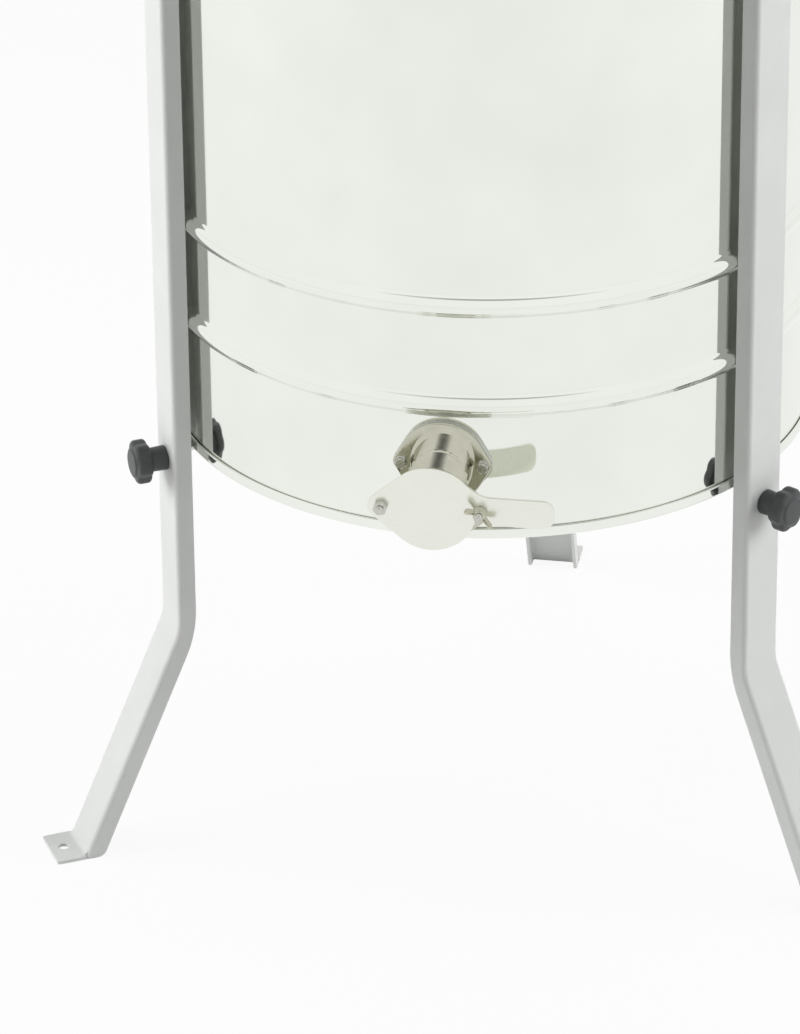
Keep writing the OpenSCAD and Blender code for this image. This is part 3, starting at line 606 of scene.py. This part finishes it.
def leg(side):
    """One leg: a folded channel, bent outward, its web turned flat into a foot with a bolt hole."""
    place = turned(LEG_ANGLES[side])
    bm = bmesh.new()
    loft(bm, [leg_section(*station) for station in leg_stations()], place)
    toe = FOOT_OUT + PAD_L
    half = LEG_W / 2
    outline = rounded([
        (-half, -toe, 2.0), (half, -toe, 2.0), (half, 1 - FOOT_OUT), (-half, 1 - FOOT_OUT),
    ], steps=5)
    hole = circle(FOOT_HOLE_R, 40, (0, -FOOT_HOLE_AT))
    plate(bm, outline, 0, LEG_T, place, [hole], edge=0.5)
    lean = math.radians(SPLAY)
    root = FOOT_OUT - LEG_T * SPLAY_TAN
    fold_r, arm = 5.0, 9
    crease = rounded([
        (root + arm, LEG_T), (root, LEG_T, fold_r),
        (root - arm * math.sin(lean), LEG_T + arm * math.cos(lean)),
    ], closed=False, steps=8)[1:-1] + [(root - 1.2, LEG_T - 1.0)]
    wide = half - 2.5
    loft(bm, [[(across, -r, z) for r, z in crease] for across in (-wide, wide)], place)
    piece("leg_" + side + "_channel", bm, "leg_" + side)


# ---------- leg knobs ----------


def knob(side):
    """Six-lobed clamping knob with a hub and a domed cap over its insert."""
    base = LEG_OUT
    bore, hub_r, fade, hollow_share = 4.05, 11.5, 4.0, 0.11
    head_low, head_high = base + 13, base + 28
    profile = rounded([
        (bore, base + 0.3), (10.2, base + 0.3, 0.6), (9.7, base + 14.5, 2.0), (KNOB_R, base + 15.2, 3.2),
        (KNOB_R, base + 26.6, 3.6), (12.6, base + 27.4, 1.2), (10.6, base + 28.9, 1.0), (0, base + 29.3),
    ], closed=False, steps=5) + [(0, base + 18), (bore, base + 18)]

    def lobes(turn, k):
        radius, height = profile[k]
        if not head_low < height < head_high:
            return 1
        share = hollow_share * min(1.0, max(0.0, (radius - hub_r) / fade))
        return 1 - share * (0.5 - 0.5 * math.cos(6 * turn)) ** 1.6

    bm = bmesh.new()
    place = turned(LEG_ANGLES[side], outward(KNOB_Z))
    lathe(bm, profile, place, sides=192, hollow=True, lobes=lobes)
    piece("knob_" + side + "_head", bm, "knob_" + side)


def knob_stud(side):
    """M8 stud moulded into the knob, screwed into the long nut under the drum."""
    bm = bmesh.new()
    thread(bm, M8, LONG_NUT_R - 2, LEG_OUT + 18, turned(LEG_ANGLES[side], outward(KNOB_Z)))
    piece("knob_" + side + "_stud", bm, "knob_stud_" + side)


def leg_fixings():
    """Welded plates with long nuts under the drum, and the sleeves and cap nuts near the rim."""
    plates, sleeves, bolts = bmesh.new(), bmesh.new(), bmesh.new()
    web = LEG_OUT - LEG_T
    sheet, height, half, shelf = 3, 38, 8, -LONG_NUT_R - 8
    angle_plate = rounded([
        (-BRACKET_R, BRACKET_Z + height, 0.7), (-BRACKET_R, BRACKET_Z + sheet, 1.5),
        (shelf, BRACKET_Z + sheet, 0.7), (shelf, BRACKET_Z, 0.7),
        (sheet - BRACKET_R, BRACKET_Z, 3.5), (sheet - BRACKET_R, BRACKET_Z + height, 0.7),
    ])
    sleeve = rounded([
        (4.3, DRUM_R + 0.2, 0.3), (7.5, DRUM_R + 0.2, 0.4), (7.5, web, 0.4), (4.3, web, 0.3),
    ])
    head = DRUM_R - SHEET - 0.2
    button = [(0, head - 4)] + arc((3.0, head - 0.6), 3.4, 270, 360, 8)
    button += [(8, head - 1.6), (8, head), (3.9, head), (3.9, head + 2), (0, head + 2)]
    washer_t = 1.6
    for angle in LEG_ANGLES.values():
        loft(plates, [[(across, r, z) for r, z in angle_plate] for across in (-half, half)], turned(angle))
        hexagon(plates, 8, LONG_NUT_R, web - 0.3, turned(angle, outward(KNOB_Z)), bore=4.05, both=True)
        top = turned(angle, outward(TOP_BOLT_Z))
        lathe(sleeves, sleeve, top, 48, hollow=True)
        lathe(bolts, button, top, 48)
        thread(bolts, M8, head, LEG_OUT + 7, top)
        washer(bolts, 4, 9, LEG_OUT, washer_t, 0.5, top)
        hexagon(bolts, 7.5, LEG_OUT + washer_t, LEG_OUT + 8.4, top)
        lathe(bolts, [(6.15, LEG_OUT + 7.2)] + arc((0, LEG_OUT + 7.6), 6.2, 0, 90, 14), top, 48)
    piece("bracket_plates_with_long_nuts", plates, "leg_brackets")
    piece("leg_top_sleeves", sleeves, "leg_spacers")
    piece("leg_top_cap_nuts", bolts, "leg_top_bolts")


# ---------- honey gate ----------


def slanted(radius, out, lumps=0.0, steps=144):
    """Upright cut through the sloping tube: the loop at one distance out of the drum.

    lumps is the height of a weld bead's ripples.
    """
    axis = Vector((SEAT_X, -SEAT_DROP, SEAT_FRONT - FLANGE_OUT))
    side = Vector((0, 1, 0)).cross(axis).normalized()
    rise = axis.cross(side).normalized()
    centre = axis * (out - FLANGE_OUT) / axis.z
    loop = []
    for i in range(steps):
        t = math.tau * i / steps
        reach = radius + lumps * math.sin(27 * t + 1.3 * math.sin(5 * t)) * (0.6 + 0.4 * math.sin(3 * t))
        point = reach * (side * math.cos(t) + rise * math.sin(t))
        point -= axis * point.z / axis.z
        loop.append((centre.x + point.x, centre.y + point.y, out))
    return loop


def at_seat():
    """The frame of the seat and the blade: local +Z runs out of the drum."""
    return lifted(outward(GATE_Z), x=SEAT_X, y=-SEAT_DROP)


def gate_flange():
    """Cast flange, the stub through the drum wall and the sloping neck with its weld bead."""
    bm = bmesh.new()
    place = outward(GATE_Z)
    flange_r, ear_r, bolt_hole_r = 34.4, 6.5, 2.7
    outline = two_ears(flange_r, ear_r, FLANGE_BOLT_X)
    holes = [circle(bolt_hole_r, 32, (s * FLANGE_BOLT_X, 0)) for s in (-1, 1)] + [circle(BORE_R, 96)]
    plate(bm, outline, FLANGE_IN, FLANGE_OUT, place, holes, edge=0.9)
    inner_end, root = DRUM_R - 5, FLANGE_OUT - 0.8
    stub = rounded([
        (BORE_R, inner_end, 0.4), (NECK_R, inner_end, 0.8), (NECK_R, FLANGE_IN + 1), (BORE_R, FLANGE_IN + 1),
    ])
    lathe(bm, stub, place, sides=128, hollow=True)
    fillet, bead_r, ripple = 2.5, 1.2, 0.6
    profile = [(BORE_R, root, 0), (NECK_R + 2, root, 0)]
    profile += [(r, out, 0) for r, out in arc((NECK_R + fillet, FLANGE_OUT + fillet), fillet, 270, 180, 6)]
    profile.append((NECK_R, WELD_IN - 0.1, 0))
    profile += [(r, out, ripple * math.sin(math.pi * k / 8))
                for k, (r, out) in enumerate(arc((NECK_R, WELD_IN + bead_r), bead_r, -90, 90, 8))]
    profile += [(NECK_R, COLLAR_IN + 5.5, 0), (BORE_R, COLLAR_IN + 5.5, 0)]
    loft(bm, [slanted(*level) for level in profile], place, ring=True)
    piece("gate_flange_and_neck", bm, "gate_flange")


def gate_collar():
    """Cast collar welded round the neck, with the seat plate for the blade."""
    bm = bmesh.new()
    place = outward(GATE_Z)
    socket_r, outer_r, start = NECK_R + 0.05, NECK_R + 1.6, COLLAR_IN + 0.05
    profile = rounded([
        (socket_r, start), (outer_r, start, 0.9), (outer_r, SEAT_BACK + 0.5),
        (BORE_R, SEAT_BACK + 0.5), (BORE_R, COLLAR_IN + 6), (socket_r, COLLAR_IN + 6),
    ])
    loft(bm, [slanted(*level) for level in profile], place, ring=True)
    bore = [(x - SEAT_X, y + SEAT_DROP) for x, y, _ in slanted(BORE_R, SEAT_FRONT - SEAT_T / 2, steps=96)]
    seat_r, ear_r = 34, 9.5
    holes = [bore] + [circle(M6[0], 32, (s * EAR_X, 0)) for s in (-1, 1)]
    plate(bm, two_ears(seat_r, ear_r, EAR_X), SEAT_BACK, SEAT_FRONT, at_seat(), holes, edge=0.7)
    piece("gate_collar_and_seat", bm, "gate_body")


def blade_outline():
    """Disc, pivot ear and handle in one plate, with a notch that lifts off the stud."""
    top, low, end_r, fillet, ear, notch = 13.0, -11.0, 9.0, 28.0, 10.5, 4.3
    lean = math.degrees(math.acos((DISC_R - ear) / EAR_X))
    fillet_x = math.sqrt((DISC_R + fillet) ** 2 - (top + fillet) ** 2)
    rise = math.degrees(math.atan2(top + fillet, fillet_x))
    disc_low = math.degrees(math.asin(low / DISC_R))
    points = arc((0, 0), DISC_R, rise, 180 - lean, 36)
    points += arc((-EAR_X, 0), ear, 180 - lean, 180 + lean, 20)
    points += arc((0, 0), DISC_R, 180 + lean, 360 + disc_low, 48)
    points.append((EAR_X - notch, low))
    points += arc((EAR_X, 0), notch, 180, 0, 16)
    points.append((EAR_X + notch, low))
    points += arc((HANDLE_X - end_r, low + end_r), end_r, -90, 0, 12)
    points += arc((HANDLE_X - end_r, top - end_r), end_r, 0, 90, 12)
    points += arc((fillet_x, top + fillet), fillet, 270, 180 + rise, 14)[:-1]
    return points


def gate_blade():
    """Laser-cut blade, tumbled so that its edges are soft."""
    bm = bmesh.new()
    hole = circle(3.05, 32, (-EAR_X, 0))
    plate(bm, blade_outline(), BLADE_IN, BLADE_OUT, at_seat(), [hole], edge=0.45)
    piece("gate_blade_plate", bm, "gate_blade")


def gate_small_parts():
    """Flange bolts, seal ring, pivot bolt with its nut, and the stud of the wing nut."""
    head_r, washer_t = 4.6, 1
    bm = bmesh.new()
    for s in (-1, 1):
        at = lifted(outward(GATE_Z), x=s * FLANGE_BOLT_X, spin=17 * s)
        washer(bm, M5[0], 5.3, FLANGE_OUT, washer_t, 0.4, at)
        hexagon(bm, head_r, FLANGE_OUT + washer_t, FLANGE_OUT + 4.5, at)
        thread(bm, M5, DRUM_R - 12.5, FLANGE_OUT + 1.1, at)
        hexagon(bm, head_r, DRUM_R - 9.2, DRUM_R - 5.2, at, bore=2.45, both=True)
    piece("gate_flange_bolt_pair", bm, "gate_flange_bolts")
    bm = bmesh.new()
    seal = [(SEAL_R[0], SEAT_FRONT - 1), (SEAL_R[1], SEAT_FRONT - 1),
            (SEAL_R[1], SEAT_FRONT + 0.1, 0.05), (SEAL_R[0], SEAT_FRONT + 0.1, 0.05)]
    lathe(bm, rounded(seal), at_seat(), 96, hollow=True)
    piece("gate_seal_ring", bm, "gate_seal")
    bm = bmesh.new()
    pivot = lifted(at_seat(), x=-EAR_X, spin=11)
    hexagon(bm, 5.6, SEAT_BACK - 4, SEAT_BACK, pivot)
    thread(bm, M6, SEAT_BACK - 1, BLADE_OUT + 9, pivot)
    piece("gate_pivot_bolt_thread", bm, "gate_pivot_bolt")
    bm = bmesh.new()
    hexagon(bm, 5.8, BLADE_OUT + 0.3, BLADE_OUT + 5.3, pivot, bore=2.9, both=True)
    piece("gate_pivot_nut_hex", bm, "gate_pivot_nut")
    bm = bmesh.new()
    thread(bm, M6, SEAT_BACK, BLADE_OUT + 13, lifted(at_seat(), x=EAR_X))
    piece("gate_stud_thread", bm, "gate_stud")


def wing_nut():
    """Forged wing nut: a tapered boss and two thick rounded wings."""
    bm = bmesh.new()
    place = lifted(at_seat(), x=EAR_X, z=BLADE_OUT + 0.3, spin=-33)
    boss = rounded([(3.05, 0), (6.0, 0, 0.5), (5.3, 4.0, 2.0), (4.7, 7.0, 0.7), (3.05, 7.0)], steps=4)
    lathe(bm, boss, place, 64, hollow=True)
    wing = rounded([
        (3.2, 1.2), (6.0, 1.4, 2), (12.2, 7.0, 4), (13.0, 12.5, 2), (10.4, 13.9, 1.8), (7.6, 11.0, 3),
        (3.6, 6.8),
    ], steps=5)
    half_t = 1.15
    for half_turn in (0, 180):
        at = lifted(place, spin=half_turn) @ Matrix.Rotation(math.radians(90), 4, "X")
        plate(bm, wing, -half_t, half_t, at, edge=0.8, steps=4)
    piece("wing_nut_forging", bm, "wing_nut")


# ---------- bar, bearings and drive ----------


def upright_bolt(bm, x, y, radius, seat_z, stack):
    """Hexagon bolt and washer on a surface, with its nut under the stack it clamps."""
    place = Matrix.Translation((x, y, seat_z)) @ Matrix.Rotation(x + 2 * y, 4, "Z")
    washer_t, head_r = 1.4, 1.9 * radius
    washer(bm, radius, 2.1 * radius, 0, washer_t, 0.4, place)
    hexagon(bm, head_r, washer_t, washer_t + 1.3 * radius, place)
    size = radius, 0.3 * radius, 0.15 * radius
    thread(bm, size, -stack - 2.4 * radius, washer_t, place, sides=32)
    nut_low, nut_high = -stack - 1.8 * radius, -stack - 0.1 * radius
    hexagon(bm, head_r, nut_low, nut_high, place, bore=0.97 * radius, both=True)


def bar_bolts():
    """The bolts through the wall, the bar, the gear case and the pillow block."""
    head_r, washer_t = 7.5, 1.5
    bm = bmesh.new()
    for side in (0, 180):
        for y in (-15, 15):
            place = turned(side) @ lifted(along_x(BAR_LOW - 37), y=y, spin=side / 9 + y)
            washer(bm, M8[0], 8.5, DRUM_R, washer_t, 0.5, place)
            hexagon(bm, head_r, DRUM_R + washer_t, DRUM_R + 6.8, place)
            thread(bm, M8, 242, DRUM_R + washer_t, place, sides=32)
            hexagon(bm, head_r, 246.5, 253.3, place, bore=3.9, both=True)
    piece("wall_bolt_set", bm, "bar_wall_bolts")
    for name, node, xs, ys, radius, seat_z, stack in (
        ("bar_bolt_set", "bar_top_bolts", (-222, 222), (-15, 15), 4, BAR_TOP, 5),
        ("case_bolt_set", "gear_case_bolts", (-36, 54), (-30, 30), 3, BAR_TOP + 5, 7),
        ("pillow_bolt_set", "pillow_block_bolts", (247,), (-21, 21), 3, BAR_TOP + 9, 14),
    ):
        bm = bmesh.new()
        for x in xs:
            for y in ys:
                upright_bolt(bm, x, y, radius, seat_z, stack)
        piece(name, bm, node)


def bearings():
    """The bush and ball under the shaft, the shielded ball bearing above and the crank's bushes."""
    low, high = span("bottom_bush", "z")
    bm = bmesh.new()
    lathe(bm, rounded([
        (0, low), (14, low, 0.6), (14, high, 0.8), (10.05, high, 0.8), (10.05, low + 4), (0, low + 4),
    ], closed=False), sides=96)
    piece("bottom_bush_turned", bm, "bottom_bush")
    low, high = span("thrust_ball", "z")
    bm = bmesh.new()
    lathe(bm, arc((0, (low + high) / 2), (high - low) / 2, -90, 90, 32), sides=64)
    piece("thrust_ball_ground", bm, "thrust_ball")
    low, high = span("upper_bearing", "z")
    bm = bmesh.new()
    profile = rounded([
        (10.05, low, 0.6), (14, low, 0.2), (14, low + 0.8, 0.2), (17.6, low + 0.8, 0.2), (17.6, low, 0.2),
        (21, low, 0.8), (21, high, 0.8), (17.6, high, 0.2), (17.6, high - 0.8, 0.2), (14, high - 0.8, 0.2),
        (14, high, 0.2), (10.05, high, 0.6),
    ])
    lathe(bm, profile, sides=96, hollow=True)
    piece("upper_bearing_shielded", bm, "upper_bearing")
    bm = bmesh.new()
    for start, end in ((40.5, 58), (240, 256)):
        lathe(bm, rounded([(8.05, start, 0.5), (11, start, 0.5), (11, end, 0.5), (8.05, end, 0.5)]),
              along_x(CRANK_Z), 64, hollow=True)
    piece("crank_bush_pair", bm, "crank_bushes")


def crank():
    """Ground shaft, flat forged arm with its hub, and a turned grip running on a bolt."""
    place = along_x(CRANK_Z)
    start, end = span("crank_shaft", "x")
    bm = bmesh.new()
    lathe(bm, rounded([(0, start), (8, start, 1.0), (8, end, 1.0), (0, end)], closed=False), place, 64)
    piece("crank_shaft_ground", bm, "crank_shaft")
    bm = bmesh.new()
    wide, narrow = 15.0, 11.0
    lean = math.degrees(math.acos((wide - narrow) / ARM_L))
    hub_in, arm_in, arm_out = 284, 296, 302
    outline = arc((0, 0), wide, lean, 360 - lean, 40) + arc((ARM_L, 0), narrow, -lean, lean, 30)
    plate(bm, outline, arm_in, arm_out, place, [circle(8.0, 48), circle(5.0, 40, (ARM_L, 0))], edge=1.2)
    hub = rounded([(8, hub_in, 0.4), (16, hub_in, 1.5), (16, arm_out, 1.2), (8, arm_out, 0.5)])
    lathe(bm, hub, place, 64, hollow=True)
    piece("crank_arm_forged", bm, "crank_arm")
    hand = lifted(place, x=ARM_L)
    bm = bmesh.new()
    hexagon(bm, 9, arm_in - 6, arm_in, lifted(hand, spin=14), both=True)
    shank = [(0, arm_in - 1), (5, arm_in - 1), (5, arm_out), (8, arm_out, 0.4), (8, 304, 0.4), (5, 304),
             (5, 400), (8, 400, 0.5), (6, 404, 1.2), (0, 404)]
    lathe(bm, rounded(shank, closed=False), hand, 48)
    piece("grip_bolt_turned", bm, "grip_bolt")
    bm = bmesh.new()
    grip = [(5.05, 304.4), (12, 304.4, 1.2), (14.8, 308, 2.5), (15, 312, 3), (13.1, 326, 14), (13.1, 336, 14),
            (15.4, 360, 40), (16.4, 378, 18), (15.3, 391, 7), (9.5, 399.6, 3), (5.05, 399.6)]
    lathe(bm, rounded(grip, steps=8), hand, 96, hollow=True)
    piece("crank_grip_moulded", bm, "crank_grip")


# ---------- basket ----------

RAIL_X = 125.0
POCKET_X = RAIL_X + 57
SCREEN_X = RAIL_X + 55.8
ROD_R, RUNG_R, WIRE_R = 4.0, 2.0, 0.75
BASKET_LOW = span("basket_bottom_frame", "z")[1]
BASKET_TOP = span("basket_top_frame", "z")[0]


def basket_spine():
    """Stepped shaft and the four collars that hold the frames on it."""
    low, high = span("basket_shaft", "z")
    step = CRANK_Z - 41
    bm = bmesh.new()
    lathe(bm, rounded([
        (0, low), (10, low, 1.2), (10, step, 0.8), (7, step), (7, high, 0.8), (0, high),
    ], closed=False), sides=64)
    piece("basket_shaft_stepped", bm, "basket_shaft")
    bm = bmesh.new()
    for low in (BASKET_LOW - 16, BASKET_LOW, BASKET_TOP - 12, BASKET_TOP + 4):
        high = low + 12
        collar = rounded([(10, low, 0.5), (17, low, 1.0), (17, high, 1.0), (10, high, 0.5)])
        lathe(bm, collar, sides=64, hollow=True)
    piece("shaft_collar_set", bm, "basket_collars")


def basket_cage():
    """Upright rods and rungs, and a woven wire screen behind each pocket."""
    rods, screens = bmesh.new(), bmesh.new()
    low, high = BASKET_LOW, BASKET_TOP
    pitch_y, pitch_z, weave = 12.0, 12.2, 0.7
    reach, half = RAIL_X - ROD_R - 0.3, RAIL_X - 4.4
    count_y, count_z = int(2 * half / pitch_y), int((high - low - 2) / pitch_z)
    ys = [(i - count_y / 2) * pitch_y for i in range(count_y + 1)]
    zs = [(low + high) / 2 + (i - count_z / 2) * pitch_z for i in range(count_z + 1)]
    for quarter in range(4):
        spin = Matrix.Rotation(math.radians(90 * quarter), 3, "Z")
        for x, y in ((POCKET_X, -RAIL_X), (POCKET_X, RAIL_X), (RAIL_X, RAIL_X)):
            rod(rods, spin @ Vector((x, y, low)), spin @ Vector((x, y, high)), ROD_R, 24)
        for share in (0.2, 0.4, 0.6, 0.8):
            z = low + share * (high - low)
            rod(rods, spin @ Vector((RAIL_X, -reach, z)), spin @ Vector((RAIL_X, reach, z)), RUNG_R, 20)
        for i, y in enumerate(ys):
            path = [(SCREEN_X + (weave if (i + k) % 2 else -weave), y, z) for k, z in enumerate(zs)]
            path = [(SCREEN_X, y, low + 0.4)] + path + [(SCREEN_X, y, high - 0.4)]
            wire(screens, [spin @ Vector(p) for p in path], WIRE_R, 6)
        for k, z in enumerate(zs):
            path = [(SCREEN_X + (-weave if (i + k) % 2 else weave), y, z) for i, y in enumerate(ys)]
            path = [(SCREEN_X, -half + 0.2, z)] + path + [(SCREEN_X, half - 0.2, z)]
            wire(screens, [spin @ Vector(p) for p in path], WIRE_R, 6)
    piece("basket_rods_and_rungs", rods, "basket_rods")
    piece("woven_wire_screens", screens, "basket_screens")


# ---------- lids ----------

HINGE_Y = 50.5
HINGE_X = 150.0
HINGE_Z = BAR_LOW + 9


def lid(side, turn):
    """Half-round clear lid with flame-polished edges and a turned knob."""
    place = turned(turn)
    start = math.degrees(math.asin(LID_Y / LID_R))
    outline = arc((0, 0), LID_R, start, 180 - start, 120)
    base = LID_LOW + 4
    bm = bmesh.new()
    plate(bm, outline, LID_LOW, base, place, edge=0.9, steps=4)
    piece("lid_" + side + "_panel", bm, "lid_" + side, crease=60)
    profile = [(0, 0), (9, 0, 0.5), (7.6, 4, 5), (7, 8, 6), (8.2, 12.4, 3), (13.4, 15, 1.5), (14, 18.2, 2),
               (12, 21.6, 3), (0, 23)]
    bm = bmesh.new()
    lathe(bm, rounded(profile, closed=False, steps=8), place @ Matrix.Translation((70, 205, base)), 72)
    piece("lid_" + side + "_knob_turned", bm, "lid_" + side + "_knob")


def hinge_pins():
    """Four drawn pins with domed ends."""
    radius, half_l = 1.6, 31
    bm = bmesh.new()
    for turn in (0, 180):
        for x in (-HINGE_X, HINGE_X):
            place = turned(turn) @ Matrix.Translation((0, HINGE_Y, 0)) @ along_x(HINGE_Z)
            lathe(bm, rounded([
                (0, x - half_l), (radius, x - half_l, 0.8), (radius, x + half_l, 0.8), (0, x + half_l),
            ], closed=False), place, 32)
    piece("hinge_pin_set", bm, "hinge_pins")


def soften(node, width):
    """Rounds the edges of a CAD node that keeps its own mesh."""
    kept = frame["nodes"][node]
    weld = kept.modifiers.new("join_edges", "WELD")
    weld.merge_threshold = 0.005 * MM
    round_edge = kept.modifiers.new("eased_edges", "BEVEL")
    round_edge.width = width * MM
    round_edge.segments = 2
    round_edge.limit_method = "ANGLE"
    round_edge.angle_limit = math.radians(40)
    flat = kept.modifiers.new("flat_faces", "WEIGHTED_NORMAL")
    flat.keep_sharp = True


# ---------- stage ----------


def seen_rays(tree):
    """1 for camera, glossy and transmission rays, and 0 for the light that falls on the object."""
    path = add(tree, "ShaderNodeLightPath").outputs
    seen = path["Is Camera Ray"]
    for kind in ("Is Glossy Ray", "Is Transmission Ray"):
        seen = add(tree, "ShaderNodeMath", {0: seen, 1: path[kind]}, operation="MAXIMUM").outputs[0]
    return seen


def studio_floor():
    """A pale floor that stays white to the camera and in reflections, and keeps a soft shadow."""
    bm = bmesh.new()
    bmesh.ops.create_circle(bm, cap_ends=True, radius=14, segments=96)
    mesh = bpy.data.meshes.new("studio_floor")
    bm.to_mesh(mesh)
    bm.free()
    floor = bpy.data.objects.new("studio_floor", mesh)
    bpy.context.scene.collection.objects.link(floor)
    made = bpy.data.materials.new("matt_white_paper")
    made.use_nodes = True
    tree = made.node_tree
    tree.nodes.clear()
    glow_share = 0.91
    share = add(tree, "ShaderNodeMath", {0: seen_rays(tree), 1: glow_share}, operation="MULTIPLY")
    paper = add(tree, "ShaderNodeBsdfDiffuse", {"Color": linear("#F4F4F3")})
    glow = add(tree, "ShaderNodeEmission", {"Color": (1, 1, 1, 1), "Strength": 1.0})
    mix = add(tree, "ShaderNodeMixShader", {0: share.outputs[0], 1: paper.outputs[0], 2: glow.outputs[0]})
    add(tree, "ShaderNodeOutputMaterial", {"Surface": mix.outputs[0]})
    mesh.materials.append(made)


def studio_world():
    """White surroundings for camera, glossy and transmission rays, dark only straight overhead."""
    world = bpy.data.worlds.new("studio")
    bpy.context.scene.world = world
    world.use_nodes = True
    tree = world.node_tree
    tree.nodes.clear()
    seen = seen_rays(tree)
    way = add(tree, "ShaderNodeSeparateXYZ", {0: add(tree, "ShaderNodeTexCoord").outputs["Generated"]})
    ceiling = add(tree, "ShaderNodeMapRange", {
        "Value": way.outputs["Z"], "From Min": 0.86, "From Max": 0.955, "To Min": 1.0, "To Max": 0.1,
    })
    shown = add(tree, "ShaderNodeMath", {0: seen, 1: ceiling.outputs["Result"]}, operation="MULTIPLY")
    room_light = 0.19
    light = add(tree, "ShaderNodeMapRange", {"Value": seen, "To Min": room_light, "To Max": 0.0})
    total = add(tree, "ShaderNodeMath", {0: shown.outputs[0], 1: light.outputs["Result"]}, operation="ADD")
    back = add(tree, "ShaderNodeBackground", {"Color": (1, 1, 1, 1), "Strength": total.outputs[0]})
    add(tree, "ShaderNodeOutputWorld", {"Surface": back.outputs[0]})


def softbox(name, at, towards, size, power):
    """A square area lamp aimed at a point, in metres and watts."""
    lamp = bpy.data.lights.new(name, "AREA")
    lamp.shape = "SQUARE"
    lamp.size = size
    lamp.energy = power
    made = bpy.data.objects.new(name, lamp)
    made.location = at
    made.rotation_euler = (Vector(towards) - Vector(at)).to_track_quat("-Z", "Y").to_euler()
    made.visible_glossy = False
    bpy.context.scene.collection.objects.link(made)


def studio_lamps():
    """Two large softboxes at the sides and a weaker one above: the sides read lighter than the front."""
    middle = (0, 0, 0.45)
    softbox("softbox_left", (-3.2, -0.6, 1.7), middle, 2.4, 92)
    softbox("softbox_right", (3.2, -0.1, 1.7), middle, 2.4, 72)
    softbox("softbox_top", (0, 0.4, 4.2), middle, 2.6, 40)


def camera():
    """A long lens, a little to the right of the gate and looking down at the lower half of the drum."""
    swing, height, distance = 8.1, 27.05, 4.918
    pan, tilt, roll = 9.08, 28.39, -0.567
    aim = Vector((0, 0, DRUM_FOOT * MM + 0.009))
    reach = distance * math.cos(math.radians(height))
    at = aim + Vector((
        reach * math.sin(math.radians(swing)), -reach * math.cos(math.radians(swing)),
        distance * math.sin(math.radians(height)),
    ))
    lens = bpy.data.cameras.new("camera")
    lens.sensor_width = 36
    lens.lens = 209.6
    lens.clip_end = 60
    made = bpy.data.objects.new("camera", lens)
    rotation = (
        Matrix.Rotation(math.radians(pan), 4, "Z")
        @ Matrix.Rotation(math.radians(90 - tilt), 4, "X")
        @ Matrix.Rotation(math.radians(roll), 4, "Z")
    )
    made.matrix_world = Matrix.Translation(at) @ rotation
    bpy.context.scene.collection.objects.link(made)
    bpy.context.scene.camera = made


# ---------- the whole extractor ----------

camera()
studio_world()
studio_floor()
studio_lamps()
bpy.context.scene.view_settings.view_transform = "Standard"

for node_name, node_object in frame["nodes"].items():
    node_object.data.materials.clear()
    node_object.data.materials.append(FINISH[SLOT_OF[node_name]])

drum_wall()
drum_floor()
for leg_side in LEG_ANGLES:
    leg(leg_side)
for leg_side in LEG_ANGLES:
    knob(leg_side)
    knob_stud(leg_side)
gate_flange()
gate_collar()
gate_blade()
gate_small_parts()
wing_nut()
leg_fixings()
bar_bolts()
bearings()
crank()
basket_spine()
basket_cage()
for lid_side, lid_turn in (("rear", 0), ("front", 180)):
    lid(lid_side, lid_turn)
hinge_pins()
for node_name, edge_width in (
    ("cross_bar", 0.6), ("bar_brackets", 0.5), ("gear_case", 0.8), ("gear_case_cover", 0.6),
    ("pillow_block", 0.8), ("hinge_bases", 0.25), ("lid_front_leaves", 0.25), ("lid_rear_leaves", 0.25),
    ("bottom_boss", 0.6), ("upper_bearing_housing", 0.6), ("basket_top_frame", 0.5),
    ("basket_bottom_frame", 0.5), ("crank_gear", 0.12), ("basket_pinion", 0.12), ("gate_gasket", 0.3),
):
    soften(node_name, edge_width)
